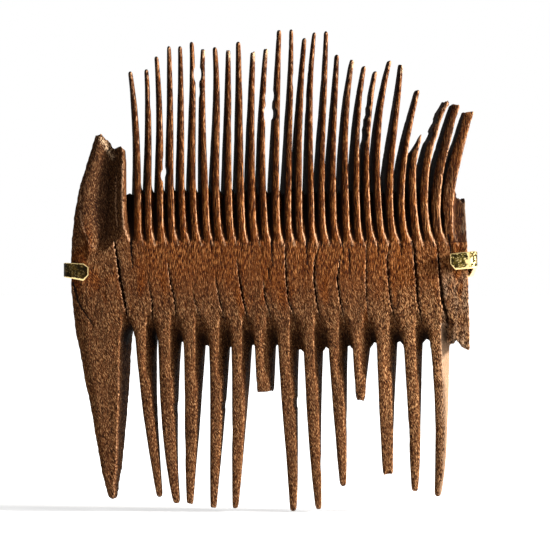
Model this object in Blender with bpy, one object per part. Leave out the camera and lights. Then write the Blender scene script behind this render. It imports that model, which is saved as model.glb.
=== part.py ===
"""A weathered two-sided wooden comb, split by drying cracks, gripped by two bent brass clips.

Frame: metres, +Z runs along the fine teeth, +X to the right of the front face, and the
front face looks along -Y. The origin is the centre of the comb with its clips.

The comb was sawn from one plank. Fifteen wooden pieces stand side by side, parted by the
cracks that climb from the coarse slots to the fine slots, and each piece keeps its teeth.
"""
import math

import bpy

# Spine, the solid band between the two rows of slots
SPINE_HEIGHT = 0.0148
SPINE_THICKNESS = 0.0090

# Fine teeth, above the spine
FINE_COUNT = 28
FINE_PITCH = 0.00212
FINE_REACH = 0.0390
FINE_ROOT_WIDTH = 0.00142
FINE_TIP_WIDTH = 0.00082
FINE_TIP_THICKNESS = 0.0018
FINE_SLOT_CLIMB = 0.0092

# Coarse teeth, below the spine
COARSE_COUNT = 13
COARSE_REACH = 0.0353
COARSE_ROOT_WIDTH = 0.0026
COARSE_TIP_WIDTH = 0.0007
COARSE_TIP_THICKNESS = 0.0026
COARSE_SLOT_CLIMB = 0.0050

# End guards, beyond the rows of teeth
LEFT_GUARD_WIDTH = 0.01105
LEFT_GUARD_TOP = 0.0194
UPRIGHT_WIDTH = 0.00195
UPRIGHT_TOP = 0.0172
UPRIGHT_FLARE_SHARE = 0.4
RIGHT_GUARD_WIDTH = 0.00318
RIGHT_GUARD_DROP = 0.0053
REMNANT_HEIGHT = 0.0075
REMNANT_THICKNESS = 0.0032
REMNANT_SETBACK = 0.0036

# Hollow scooped out of the front of the left guard
HOLLOW_DEPTH = 0.0028
HOLLOW_WIDTH = 0.0074
HOLLOW_FOOT = 0.0020

# Brass clips bent round the two ends
CLIP_THICKNESS = 0.0008
CLIP_STRIP_WIDTH = 0.0031
CLIP_BEND_RADIUS = 0.0013
LEFT_CLIP_REACH = 0.0046
LEFT_CLIP_EDGE_GAP = 0.00045
LEFT_CLIP_HEIGHT = 0.0093
RIGHT_CLIP_REACH = 0.0050
RIGHT_CLIP_EDGE_GAP = 0.00027
RIGHT_CLIP_HEIGHT = 0.0112
RIGHT_CLIP_FALL = 0.0016
CLIP_TILT_SHARE = 0.10
# Where the points of a tab's middle line are, from its cut end towards the bend
TAB_STATION_SHARES = (1.0, 0.8, 0.5)
BEND_STEPS = 3
# How wide the cut end of a tab is, and how far it sits above the strip's middle
LEFT_TAB_END_SHARES = (0.45, 0.04)
RIGHT_TAB_END_SHARES = (0.62, 0.18)

# Fits and overruns
CLEARANCE = 0.0003
ROOT_OVERRUN = 0.0015
SLOT_FLOOR_SEAT = 0.0005
ROOT_INSET = 0.00015
CUT_OVERRUN = 0.0010

# How the saw cuts lean through the thickness, at the left and the right end of the rows
FINE_SLANT_SHARES = (0.11, 0.22)
COARSE_SLANT_SHARES = (-0.16, -0.21)

# How the plank thins, and how the teeth narrow, towards their tips
FINE_THINNING_POWER = 1.1
COARSE_THINNING_POWER = 1.2
FINE_NARROWING_POWER = 1.6
COARSE_NARROWING_POWER = 1.15
CORNER_WIDTH_SHARES = (0.26, 0.33)
CORNER_DEPTH_SHARES = (0.10, 0.55)
TIP_SHRINK_SHARE = 0.55
TOOTH_RING_SHARES = (0.0, 0.2, 0.4, 0.6, 0.8, 0.95, 1.0)

# Where the lean of a tooth is given, as shares of its own length from the root
FINE_LEAN_STATION_SHARES = (0.0, 0.3, 0.65, 1.0)
COARSE_LEAN_STATION_SHARES = (0.0, 0.35, 0.7, 1.0)

# Fine teeth from left to right. Reach is the length left, and whole the length before any
# break, both as shares of FINE_REACH. The leans are shares of FINE_PITCH.
FINE_TEETH_SHARES = (
    # reach, whole, lean at 0, 0.3, 0.65, 1
    (0.80, 0.80, 0.0, -0.12, -0.17, -0.65),
    (0.81, 0.81, 0.0, -0.15, -0.08, -0.24),
    (0.87, 0.87, 0.0, -0.27, -0.12, -0.37),
    (0.92, 0.92, 0.0, -0.27, -0.18, -0.27),
    (0.92, 0.92, 0.0, -0.30, -0.24, -0.30),
    (0.94, 0.94, 0.0, -0.34, -0.23, -0.29),
    (0.91, 0.91, 0.0, -0.33, -0.38, -0.29),
    (0.915, 0.915, 0.0, -0.32, -0.15, -0.28),
    (0.905, 0.905, 0.0, -0.28, -0.15, -0.10),
    (0.94, 0.94, 0.0, -0.20, -0.17, -0.23),
    (0.90, 0.90, 0.0, -0.23, -0.13, 0.05),
    (0.915, 0.915, 0.0, -0.27, -0.17, 0.21),
    (0.995, 0.995, 0.0, -0.13, 0.09, 0.35),
    (1.00, 1.00, 0.0, -0.04, 0.24, 0.41),
    (0.96, 0.96, 0.0, -0.17, 0.10, 0.56),
    (0.985, 0.985, 0.0, -0.12, -0.03, 0.43),
    (0.99, 0.99, 0.0, -0.17, 0.16, 0.43),
    (0.88, 0.88, 0.0, -0.24, 0.03, 0.38),
    (0.86, 0.86, 0.0, -0.16, 0.04, 0.72),
    (0.825, 0.825, 0.0, -0.19, 0.05, 0.75),
    (0.80, 0.80, 0.0, -0.32, -0.06, 0.72),
    (0.85, 0.85, 0.0, -0.37, -0.06, 0.97),
    (0.835, 0.835, 0.0, -0.31, 0.30, 0.95),
    (0.71, 0.71, 0.0, -0.31, 0.30, 1.39),
    (0.505, 0.505, 0.0, -0.31, -0.23, 0.56),
    (0.665, 0.70, 0.0, -0.35, 0.26, 1.92),
    (0.645, 0.95, 0.0, -0.35, 0.31, 1.57),
    (0.61, 1.80, 0.0, -0.05, 0.70, 1.84),
)

# Coarse teeth from left to right, with reach and whole as shares of COARSE_REACH and the
# leans as shares of the coarse pitch. The sixth, tenth and eleventh are broken short.
COARSE_TEETH_SHARES = (
    # reach, whole, lean at 0, 0.35, 0.7, 1
    (0.925, 0.925, 0.06, 0.13, 0.38, 0.64),
    (0.96, 0.96, 0.05, 0.01, 0.09, 0.33),
    (0.965, 0.965, 0.04, 0.00, -0.08, -0.14),
    (0.985, 0.985, 0.04, 0.01, -0.09, -0.19),
    (0.985, 0.985, -0.04, -0.10, -0.20, -0.30),
    (0.38, 0.97, -0.10, -0.10, -0.08, -0.08),
    (1.00, 1.00, -0.13, -0.13, -0.01, 0.04),
    (0.99, 0.99, -0.18, -0.14, -0.06, 0.07),
    (0.87, 0.87, -0.17, -0.12, -0.02, 0.06),
    (0.43, 0.46, -0.21, -0.21, -0.23, -0.23),
    (0.825, 0.98, -0.18, -0.18, -0.16, -0.12),
    (0.895, 0.895, -0.13, -0.09, -0.04, -0.04),
    (0.925, 0.925, -0.07, 0.02, 0.03, -0.11),
)

# Cracks from left to right: the fine slot that each starts from, counted from the slot
# before the first tooth, then how far it strays from a straight line to the coarse slot
# below it at two thirds and one third of the spine, as shares of the coarse pitch.
CRACKS_SHARES = (
    (-1.56, -0.06, -0.08),
    (1, -0.08, -0.12),
    (3, -0.19, -0.14),
    (5, -0.16, -0.22),
    (7, -0.16, -0.17),
    (9, -0.17, -0.13),
    (11, -0.17, -0.20),
    (13, -0.13, -0.21),
    (16, -0.22, -0.20),
    (18, -0.21, -0.20),
    (20, -0.06, -0.10),
    (22, -0.18, -0.18),
    (24, -0.04, -0.08),
    (26, -0.03, -0.09),
)

# Left edge of the left guard, from its foot to its top: the height as a share of
# COARSE_REACH below the spine, at even steps up the spine, or of LEFT_GUARD_TOP above it,
# with the distance in from the widest point as a share of LEFT_GUARD_WIDTH.
GUARD_BELOW_SHARES = ((0.93, 0.65), (0.89, 0.59), (0.73, 0.48), (0.58, 0.40), (0.42, 0.305),
                      (0.31, 0.225), (0.10, 0.125))
GUARD_SPINE_SHARES = (0.08, 0.01, 0.0, 0.02)
GUARD_ABOVE_SHARES = ((0.32, 0.09), (0.57, 0.17), (0.76, 0.27), (0.98, 0.38))

# Right edge of the left guard below the spine, as shares of LEFT_GUARD_WIDTH, and how much
# thinner than the plank its outer edge is
GUARD_INNER_SHARES = (0.74, 0.755, 0.80, 0.835, 0.855, 0.87, 0.915)
GUARD_EDGE_SHARE = 0.72
GUARD_BREAK_SHARE = 0.85
GUARD_PEAK_SHARE = 0.44
GUARD_INNER_SLANT_SHARES = (0.5, 1.0)

# Broken lower edge of the right guard: how far along its width, and how far down. Then how
# far its right edge lies in from its foot, at even steps up the spine, and how far the
# slot floor climbs at each place along its width.
RIGHT_BREAK_SHARES = ((0.0, 0.87), (0.24, 0.73), (0.41, 0.56), (0.54, 0.62), (0.80, 1.0),
                      (1.0, 0.94))
RIGHT_EDGE_SHARES = (0.11, 0.17, 0.22, 0.26)
RIGHT_CLIMB_SHARES = (1.0, 1.0, 1.0, 1.0, 0.7, 0.7)

# Across the hollow, from its left rim to its right: place and depth
HOLLOW_ACROSS_SHARES = ((-0.56, 0.0), (-0.28, 0.50), (0.12, 1.0), (0.32, 0.70), (0.46, 0.0))
# Up the hollow, from its foot: height, middle, width and depth
HOLLOW_UP_SHARES = ((0.0, 0.46, 0.10, 0.05), (0.13, 0.53, 0.62, 0.42), (0.30, 0.53, 0.92, 0.78),
                    (0.50, 0.525, 0.98, 0.95), (0.75, 0.55, 1.0, 1.0), (1.10, 0.56, 1.0, 1.05))

# Colours and finish
WOOD_COLOUR = (0.235, 0.115, 0.055)
WOOD_ROUGHNESS = 0.8
BRASS_COLOUR = (0.72, 0.52, 0.20)
BRASS_ROUGHNESS = 0.35
SHARP_ANGLE = math.radians(35)

# Heights of the spine, with the whole comb centred on the origin
overall_height = FINE_REACH + SPINE_HEIGHT + COARSE_REACH
spine_top = 0.5 * overall_height - FINE_REACH
spine_bottom = spine_top - SPINE_HEIGHT

# Places along the comb, with the clips included in its width
fine_row_width = FINE_COUNT * FINE_PITCH
coarse_pitch = fine_row_width / COARSE_COUNT
left_margin = LEFT_CLIP_EDGE_GAP + CLIP_THICKNESS
right_margin = RIGHT_CLIP_EDGE_GAP + CLIP_THICKNESS
overall_width = left_margin + LEFT_GUARD_WIDTH + fine_row_width + RIGHT_GUARD_WIDTH + right_margin
left_end = left_margin - 0.5 * overall_width
row_start = left_end + LEFT_GUARD_WIDTH
row_end = row_start + fine_row_width
right_end = row_end + RIGHT_GUARD_WIDTH


def mix(first, last, share):
    return first + (last - first) * share


def clamp(value):
    return min(max(value, 0.0), 1.0)


def through_points(stations, values, place):
    """The smooth curve through a few points, at one place along it."""
    total = 0.0
    for i, station in enumerate(stations):
        weight = values[i]
        for j, other in enumerate(stations):
            if j != i:
                weight *= (place - other) / (station - other)
        total += weight
    return total


def table_at(values, along):
    """A value between evenly spaced ones, on the straight line from one to the next."""
    place = clamp(along) * (len(values) - 1)
    step = min(int(place), len(values) - 2)
    return mix(values[step], values[step + 1], place - step)


def up_spine(z):
    return (z - spine_bottom) / SPINE_HEIGHT


def half_thickness(z):
    """Half the plank's thickness at a height: full on the spine, thinner to the tips."""
    full = 0.5 * SPINE_THICKNESS
    if z > spine_top:
        along = (z - spine_top) / FINE_REACH
        return mix(full, 0.5 * FINE_TIP_THICKNESS, along ** FINE_THINNING_POWER)
    if z < spine_bottom:
        along = (spine_bottom - z) / COARSE_REACH
        return mix(full, 0.5 * COARSE_TIP_THICKNESS, along ** COARSE_THINNING_POWER)
    return full


def slant(x, z):
    """How far a saw cut shifts sideways for each unit of depth."""
    across = clamp((x - row_start) / fine_row_width)
    fine = mix(FINE_SLANT_SHARES[0], FINE_SLANT_SHARES[1], across)
    coarse = mix(COARSE_SLANT_SHARES[0], COARSE_SLANT_SHARES[1], across)
    return mix(coarse, fine, clamp(up_spine(z)))


def on_cut(x, y, z, follow=1.0):
    """A point at depth y on the cut whose line at mid thickness is at x."""
    return (x - follow * slant(x, z) * y, y, z)


def fine_tooth_x(number, z):
    """Middle of a fine tooth at a height, with teeth numbered from one."""
    shares = FINE_TEETH_SHARES[number - 1]
    along = (z - spine_top) / (shares[0] * FINE_REACH)
    lean = through_points(FINE_LEAN_STATION_SHARES, shares[2:], along)
    return row_start + (number - 0.5 + lean) * FINE_PITCH


def coarse_tooth_x(number, z):
    """Middle of a coarse tooth at a height, with teeth numbered from one."""
    shares = COARSE_TEETH_SHARES[number - 1]
    along = (spine_bottom - z) / (shares[0] * COARSE_REACH)
    lean = through_points(COARSE_LEAN_STATION_SHARES, shares[2:], along)
    return row_start + (number - 0.5 + lean) * coarse_pitch


def slot_x(tooth_x, count, pitch, slot, z):
    """Middle of the slot after a tooth, halfway between the two teeth beside it."""
    if slot <= 0:
        return tooth_x(1, z) + (slot - 0.5) * pitch
    if slot >= count:
        return tooth_x(count, z) + 0.5 * pitch
    return 0.5 * (tooth_x(slot, z) + tooth_x(slot + 1, z))


def fine_slot_x(slot, z):
    return slot_x(fine_tooth_x, FINE_COUNT, FINE_PITCH, slot, z)


def coarse_slot_x(slot, z):
    return slot_x(coarse_tooth_x, COARSE_COUNT, coarse_pitch, slot, z)


def crack_x(number, z):
    """Line of a crack at mid thickness, with cracks numbered from one."""
    fine_slot, upper, lower = CRACKS_SHARES[number - 1]
    coarse_slot = number - 1
    if z >= spine_top:
        return fine_slot_x(fine_slot, z if fine_slot > 0 else spine_top)
    if z <= spine_bottom:
        return coarse_slot_x(coarse_slot, z)
    top = fine_slot_x(fine_slot, spine_top)
    bottom = coarse_slot_x(coarse_slot, spine_bottom)
    stray = table_at((0.0, lower, upper, 0.0), up_spine(z)) * coarse_pitch
    return mix(bottom, top, up_spine(z)) + stray


def new_object(name, vertices, faces):
    mesh = bpy.data.meshes.new(name)
    mesh.from_pydata(vertices, [], faces)
    mesh.update()
    made = bpy.data.objects.new(name, mesh)
    bpy.context.scene.collection.objects.link(made)
    return made


def lattice_object(name, layers):
    """A closed block from points in layers (front to back), rows (up) and columns (right)."""
    last_layer = len(layers) - 1
    last_row = len(layers[0]) - 1
    last_column = len(layers[0][0]) - 1
    vertices = []
    index = {}
    for k, layer in enumerate(layers):
        for j, row in enumerate(layer):
            for i, point in enumerate(row):
                edge = k in (0, last_layer) or j in (0, last_row) or i in (0, last_column)
                if edge:
                    index[k, j, i] = len(vertices)
                    vertices.append(point)
    faces = []

    def quad(a, b, c, d):
        faces.append((index[a], index[b], index[c], index[d]))

    for j in range(last_row):
        for i in range(last_column):
            quad((0, j, i), (0, j, i + 1), (0, j + 1, i + 1), (0, j + 1, i))
            quad((last_layer, j, i), (last_layer, j + 1, i),
                 (last_layer, j + 1, i + 1), (last_layer, j, i + 1))
    for k in range(last_layer):
        for i in range(last_column):
            quad((k, 0, i), (k + 1, 0, i), (k + 1, 0, i + 1), (k, 0, i + 1))
            quad((k, last_row, i), (k, last_row, i + 1),
                 (k + 1, last_row, i + 1), (k + 1, last_row, i))
        for j in range(last_row):
            quad((k, j, 0), (k, j + 1, 0), (k + 1, j + 1, 0), (k + 1, j, 0))
            quad((k, j, last_column), (k + 1, j, last_column),
                 (k + 1, j + 1, last_column), (k, j + 1, last_column))
    return new_object(name, vertices, faces)


def ring_object(name, rings):
    """A closed solid from rings of points, all going the same way round, bottom ring first."""
    count = len(rings[0])
    vertices = [point for ring in rings for point in ring]
    faces = [tuple(range(count - 1, -1, -1))]
    for j in range(len(rings) - 1):
        for i in range(count):
            following = (i + 1) % count
            faces.append((j * count + i, j * count + following,
                          (j + 1) * count + following, (j + 1) * count + i))
    top = (len(rings) - 1) * count
    faces.append(tuple(range(top, top + count)))
    return new_object(name, vertices, faces)


def combine(base, tool, operation):
    """Joins a tool to the base or cuts it away, and removes the tool."""
    boolean = base.modifiers.new(operation.lower(), "BOOLEAN")
    boolean.operation = operation
    boolean.solver = "EXACT"
    boolean.object = tool
    bpy.context.view_layer.update()
    evaluated = base.evaluated_get(bpy.context.evaluated_depsgraph_get())
    result = bpy.data.meshes.new_from_object(evaluated)
    base.modifiers.clear()
    base.data = result
    bpy.data.objects.remove(tool)


def tooth_ring(x, z, width, half_depth, along):
    """Eight points round a tooth: a box at its root, cut at the corners, and rounder above."""
    half = 0.5 * width
    cut_wide = mix(*CORNER_WIDTH_SHARES, along) * width
    cut_deep = mix(*CORNER_DEPTH_SHARES, along) * half_depth
    outline = ((half - cut_wide, -half_depth), (half, -half_depth + cut_deep),
               (half, half_depth - cut_deep), (half - cut_wide, half_depth),
               (cut_wide - half, half_depth), (-half, half_depth - cut_deep),
               (-half, -half_depth + cut_deep), (cut_wide - half, -half_depth))
    lean = slant(x, z)
    return [(x + across - lean * depth, depth, z) for across, depth in outline]


def tooth(number, shares, row_reach, root_z, way, tooth_x, widths, power):
    """A tooth as a stack of rings from inside the spine, smaller at a tip that is whole."""
    reach, whole = shares[number - 1][:2]
    distances = [-ROOT_OVERRUN, *(share * reach * row_reach for share in TOOTH_RING_SHARES)]
    rings = []
    for place, distance in enumerate(distances):
        z = root_z + way * distance
        along = clamp(distance / (whole * row_reach))
        at_whole_tip = reach >= whole and place == len(distances) - 1
        keep = TIP_SHRINK_SHARE if at_whole_tip else 1.0
        width = keep * mix(*widths, along ** power)
        half_depth = keep * (half_thickness(z) - ROOT_INSET)
        rings.append(tooth_ring(tooth_x(number, z), z, width, half_depth, along))
    if way < 0:
        rings.reverse()
    return ring_object("tooth", rings)


def fine_tooth(number):
    return tooth(number, FINE_TEETH_SHARES, FINE_REACH, spine_top, 1, fine_tooth_x,
                 (FINE_ROOT_WIDTH, FINE_TIP_WIDTH), FINE_NARROWING_POWER)


def coarse_tooth(number):
    return tooth(number, COARSE_TEETH_SHARES, COARSE_REACH, spine_bottom, -1, coarse_tooth_x,
                 (COARSE_ROOT_WIDTH, COARSE_TIP_WIDTH), COARSE_NARROWING_POWER)


def spine_heights():
    """Heights of the rows of points up the spine, with one close to each of its edges."""
    third = SPINE_HEIGHT / 3
    return [spine_bottom, spine_bottom + SLOT_FLOOR_SEAT, spine_bottom + third,
            spine_top - third, spine_top - SLOT_FLOOR_SEAT, spine_top]


def spine_block(name, left_crack, right_crack):
    """The part of the spine between two cracks, with the slot floors climbing to a ridge."""
    layers = []
    for depth_share in (-1.0, 0.0, 1.0):
        y = 0.5 * SPINE_THICKNESS * depth_share
        heights = spine_heights()
        if depth_share == 0.0:
            heights[0] -= COARSE_SLOT_CLIMB
            heights[-1] += FINE_SLOT_CLIMB
        rows = []
        for z in heights:
            left = crack_x(left_crack, z) + 0.5 * CLEARANCE
            right = crack_x(right_crack, z) - 0.5 * CLEARANCE
            rows.append([on_cut(left, y, z), on_cut(right, y, z)])
        layers.append(rows)
    return lattice_object(name, layers)


def paint(made, colour, roughness, metallic):
    material = bpy.data.materials.new(made.name + "_finish")
    material.use_nodes = True
    shader = material.node_tree.nodes["Principled BSDF"]
    shader.inputs["Base Color"].default_value = (*colour, 1.0)
    shader.inputs["Roughness"].default_value = roughness
    shader.inputs["Metallic"].default_value = metallic
    made.data.materials.clear()
    made.data.materials.append(material)
    made.data.shade_smooth()
    made.data.set_sharp_from_angle(angle=SHARP_ANGLE)


def hollow_cutter():
    """The scooped hollow as a block whose inner side follows the hollow's floor."""
    foot = spine_top - HOLLOW_FOOT
    front = []
    floor = []
    for up, middle, width, depth in HOLLOW_UP_SHARES:
        z = mix(foot, spine_top + LEFT_GUARD_TOP, up)
        surface = -half_thickness(z)
        front_row = []
        floor_row = []
        for across, deep in HOLLOW_ACROSS_SHARES:
            x = left_end + middle * LEFT_GUARD_WIDTH + across * width * HOLLOW_WIDTH
            front_row.append((x, surface - CUT_OVERRUN, z))
            floor_row.append((x, surface + deep * depth * HOLLOW_DEPTH, z))
        front.append(front_row)
        floor.append(floor_row)
    return lattice_object("hollow_cutter", [front, floor])


def left_end_guard():
    """The wide end guard, up to the crack on its right, with its broken top."""
    rows = []
    for (down, inset), inner in zip(GUARD_BELOW_SHARES, GUARD_INNER_SHARES):
        z = spine_bottom - down * COARSE_REACH
        rows.append((z, left_end + inset * LEFT_GUARD_WIDTH, left_end + inner * LEFT_GUARD_WIDTH))
    for z in spine_heights():
        inset = table_at(GUARD_SPINE_SHARES, up_spine(z))
        right = crack_x(1, z) - 0.5 * CLEARANCE
        rows.append((z, left_end + inset * LEFT_GUARD_WIDTH, right))
    for up, inset in GUARD_ABOVE_SHARES:
        z = spine_top + up * LEFT_GUARD_TOP
        right = crack_x(1, z) - 0.5 * CLEARANCE
        rows.append((z, left_end + inset * LEFT_GUARD_WIDTH, right))
    layers = []
    for side in (-1.0, 1.0):
        layer = []
        for z, left, right in rows:
            top = rows[-1][0]
            peak = spine_top + LEFT_GUARD_TOP
            notch = spine_top + GUARD_BREAK_SHARE * LEFT_GUARD_TOP
            inner_z = notch if z == top else z
            peak_z = peak if z == top else z
            full = half_thickness(z)
            thin = GUARD_EDGE_SHARE * full
            middle = mix(left, right, GUARD_PEAK_SHARE)
            layer.append([(left, side * thin, z),
                          on_cut(middle, side * full, peak_z, GUARD_INNER_SLANT_SHARES[0]),
                          on_cut(right, side * full, inner_z, GUARD_INNER_SLANT_SHARES[1])])
        layers.append(layer)
    guard = lattice_object("left_end_guard", layers)
    combine(guard, hollow_cutter(), "DIFFERENCE")
    return guard


def upright():
    """The thin wall between the crack through the hollow and the first fine slot."""
    left = crack_x(1, spine_top) + 0.5 * CLEARANCE + ROOT_INSET
    foot_right = fine_slot_x(0, spine_top) - 0.5 * (FINE_PITCH - FINE_ROOT_WIDTH)
    top = spine_top + UPRIGHT_TOP
    layers = []
    for side in (-1.0, 1.0):
        layer = []
        for z, right in ((spine_top - ROOT_OVERRUN, foot_right), (spine_top, foot_right),
                         (mix(spine_top, top, UPRIGHT_FLARE_SHARE), left + UPRIGHT_WIDTH),
                         (top, left + UPRIGHT_WIDTH)):
            y = side * (half_thickness(z) - ROOT_INSET)
            layer.append([on_cut(left, y, z), on_cut(right, y, z)])
        layers.append(layer)
    return lattice_object("upright", layers)


def stave(number, fine_numbers):
    """One piece between two cracks, with its fine teeth and its one coarse tooth."""
    made = spine_block(f"stave_{number:02d}", number, number + 1)
    combine(made, coarse_tooth(number), "UNION")
    for fine_number in fine_numbers:
        combine(made, fine_tooth(fine_number), "UNION")
    return made


def right_edge_x(z):
    return right_end - table_at(RIGHT_EDGE_SHARES, up_spine(z)) * RIGHT_GUARD_WIDTH


def right_end_guard(fine_numbers):
    """The narrow, broken end guard with its last teeth and a remnant of its upper end."""
    crack = len(CRACKS_SHARES)
    layers = []
    for depth_share in (-1.0, 0.0, 1.0):
        y = 0.5 * SPINE_THICKNESS * depth_share
        at_ridge = depth_share == 0.0
        bottom_row = []
        for across, down in RIGHT_BREAK_SHARES:
            z = spine_bottom - down * RIGHT_GUARD_DROP
            left = crack_x(crack, z) + 0.5 * CLEARANCE
            bottom_row.append(on_cut(mix(left, right_end, across), y, z, 1.0 - across))
        rows = [bottom_row]
        for height in spine_heights():
            row = []
            for (across, _), climb in zip(RIGHT_BREAK_SHARES, RIGHT_CLIMB_SHARES):
                climbs = at_ridge and height == spine_top
                z = height + climb * FINE_SLOT_CLIMB if climbs else height
                left = crack_x(crack, z) + 0.5 * CLEARANCE
                row.append(on_cut(mix(left, right_edge_x(z), across), y, z, 1.0 - across))
            rows.append(row)
        layers.append(rows)
    made = lattice_object("right_end_guard", layers)
    for fine_number in fine_numbers:
        combine(made, fine_tooth(fine_number), "UNION")
    combine(made, remnant(), "UNION")
    return made


def remnant():
    """What is left of the right guard above the spine, set back from the front face."""
    front = REMNANT_SETBACK - 0.5 * SPINE_THICKNESS
    slot_half = 0.5 * (FINE_PITCH - FINE_ROOT_WIDTH)
    right = right_edge_x(spine_top) - ROOT_INSET
    layers = []
    for y in (front, front + REMNANT_THICKNESS):
        layer = []
        for z in (spine_top - ROOT_OVERRUN, spine_top + REMNANT_HEIGHT):
            left = fine_slot_x(FINE_COUNT, z) + slot_half
            layer.append([on_cut(left, y, z), (right, y, z)])
        layers.append(layer)
    return lattice_object("remnant", layers)


def clip_path(outer, inward, reach):
    """Middle line of a clip in plan, from the front tab round the end to the back tab."""
    mid_y = 0.5 * SPINE_THICKNESS + CLEARANCE + 0.5 * CLIP_THICKNESS
    web_x = outer + inward * 0.5 * CLIP_THICKNESS
    path = []
    for share in TAB_STATION_SHARES:
        path.append((outer + inward * share * reach, -mid_y, (0.0, -1.0)))
    centre_x = web_x + inward * CLIP_BEND_RADIUS
    for side in (-1, 1):
        centre_y = side * (mid_y - CLIP_BEND_RADIUS)
        for step in range(BEND_STEPS + 1):
            turned = step if side > 0 else step - BEND_STEPS
            angle = 0.5 * math.pi * turned / BEND_STEPS
            normal = (-inward * math.cos(angle), math.sin(angle))
            path.append((centre_x + normal[0] * CLIP_BEND_RADIUS,
                         centre_y + normal[1] * CLIP_BEND_RADIUS, normal))
    for share in reversed(TAB_STATION_SHARES):
        path.append((outer + inward * share * reach, mid_y, (0.0, 1.0)))
    return path


def clip(name, outer, inward, reach, middle_z, tab_end_shares, fall):
    """A flat brass strip bent round an end of the comb, with the corners of its tabs cut."""
    path = clip_path(outer, inward, reach)
    whole_strip_shares = (1.0, 0.0)
    inner = []
    outer_side = []
    for place, (x, y, normal) in enumerate(path):
        at_end = place in (0, len(path) - 1)
        width_share, rise_share = tab_end_shares if at_end else whole_strip_shares
        drop = CLIP_TILT_SHARE * inward * (x - outer)
        behind = clamp(0.5 + y / SPINE_THICKNESS)
        z = middle_z - drop - fall * behind + rise_share * CLIP_STRIP_WIDTH
        half_width = 0.5 * CLIP_STRIP_WIDTH * width_share
        half = 0.5 * CLIP_THICKNESS
        inner.append([(x - normal[0] * half, y - normal[1] * half, z - half_width),
                      (x - normal[0] * half, y - normal[1] * half, z + half_width)])
        outer_side.append([(x + normal[0] * half, y + normal[1] * half, z - half_width),
                           (x + normal[0] * half, y + normal[1] * half, z + half_width)])
    order = [outer_side, inner] if inward > 0 else [inner, outer_side]
    return lattice_object(name, order)


def main():
    for old in list(bpy.data.objects):
        bpy.data.objects.remove(old)

    wooden = [left_end_guard()]
    first_fine = 1
    for number in range(1, COARSE_COUNT + 1):
        last_fine = CRACKS_SHARES[number][0]
        wooden.append(stave(number, range(first_fine, last_fine + 1)))
        first_fine = last_fine + 1
        if number == 1:
            combine(wooden[-1], upright(), "UNION")
            combine(wooden[-1], hollow_cutter(), "DIFFERENCE")
    wooden.append(right_end_guard(range(first_fine, FINE_COUNT + 1)))
    for made in wooden:
        paint(made, WOOD_COLOUR, WOOD_ROUGHNESS, 0.0)

    left_clip = clip("left_brass_clip", -0.5 * overall_width, 1, LEFT_CLIP_REACH,
                     spine_bottom + LEFT_CLIP_HEIGHT, LEFT_TAB_END_SHARES, 0.0)
    right_clip = clip("right_brass_clip", 0.5 * overall_width, -1, RIGHT_CLIP_REACH,
                      spine_bottom + RIGHT_CLIP_HEIGHT, RIGHT_TAB_END_SHARES, RIGHT_CLIP_FALL)
    for made in (left_clip, right_clip):
        paint(made, BRASS_COLOUR, BRASS_ROUGHNESS, 1.0)


main()
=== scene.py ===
# %% [markdown]
# # A weathered two-sided wooden comb
#
# The comb was sawn from one plank some time long ago. Fine teeth stand above a solid
# spine and coarse teeth hang below it. The wood has dried, split and worn, and two bent
# brass clips grip its ends.
#
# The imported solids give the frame: every piece made here sits where its solid is. We
# load them first, and keep their box to compare with the finished model at the end.

# %% Load the frame
import math

import bpy
import numpy as np
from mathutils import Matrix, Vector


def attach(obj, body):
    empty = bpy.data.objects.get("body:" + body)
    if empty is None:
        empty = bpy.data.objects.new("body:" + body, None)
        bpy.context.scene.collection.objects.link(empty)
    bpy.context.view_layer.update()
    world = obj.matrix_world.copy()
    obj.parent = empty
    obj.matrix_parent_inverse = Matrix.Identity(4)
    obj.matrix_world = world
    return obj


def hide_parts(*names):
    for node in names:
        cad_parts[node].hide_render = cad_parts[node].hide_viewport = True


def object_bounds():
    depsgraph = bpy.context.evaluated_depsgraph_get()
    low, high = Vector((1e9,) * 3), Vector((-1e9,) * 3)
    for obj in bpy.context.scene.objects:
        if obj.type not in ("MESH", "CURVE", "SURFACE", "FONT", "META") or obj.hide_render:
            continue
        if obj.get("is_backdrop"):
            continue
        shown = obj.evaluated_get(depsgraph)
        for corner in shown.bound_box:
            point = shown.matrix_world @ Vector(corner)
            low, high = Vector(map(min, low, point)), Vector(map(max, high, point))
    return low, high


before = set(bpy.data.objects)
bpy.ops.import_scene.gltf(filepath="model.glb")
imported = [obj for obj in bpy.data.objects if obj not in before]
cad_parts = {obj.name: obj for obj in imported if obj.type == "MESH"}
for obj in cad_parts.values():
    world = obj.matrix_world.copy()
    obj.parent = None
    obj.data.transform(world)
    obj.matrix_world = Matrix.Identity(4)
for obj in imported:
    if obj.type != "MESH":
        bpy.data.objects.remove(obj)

MM = 0.001
cad_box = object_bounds()

# %% [markdown]
# ## The comb's own numbers
#
# A comb follows a rule: teeth at an even pitch, with the plank thinner and the teeth
# narrower towards their tips. We write that rule down once as named sizes, in metres.
# What differs from tooth to tooth, such as its length, its lean and where it broke,
# goes in tables of shares, because a share stays true at any size.

# %% Sizes of the plank and its two rows
SPINE_HEIGHT = 0.0148
SPINE_THICKNESS = 0.0090
LEFT_GUARD_WIDTH = 0.01105
RIGHT_GUARD_WIDTH = 0.00318
FINE_COUNT = 28
FINE_PITCH = 0.00212
FINE_REACH = 0.0390
FINE_ROOT_WIDTH = 0.00138
FINE_FLARE = 0.00085
COARSE_COUNT = 13
COARSE_REACH = 0.0353
# how far a slot's floor climbs from the faces to its ridge, and how sharp that ridge is
FINE_CLIMB = 0.0092
FINE_CLIMB_POWER = 1.0
COARSE_CLIMB = 0.0050
COARSE_CLIMB_POWER = 1.3
# how far below the spine's top the fine slots reach at the two faces
FLOOR_DROP = 0.0007
# how far down into the spine reaches what stands on it
SEAT = 0.0026
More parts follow.
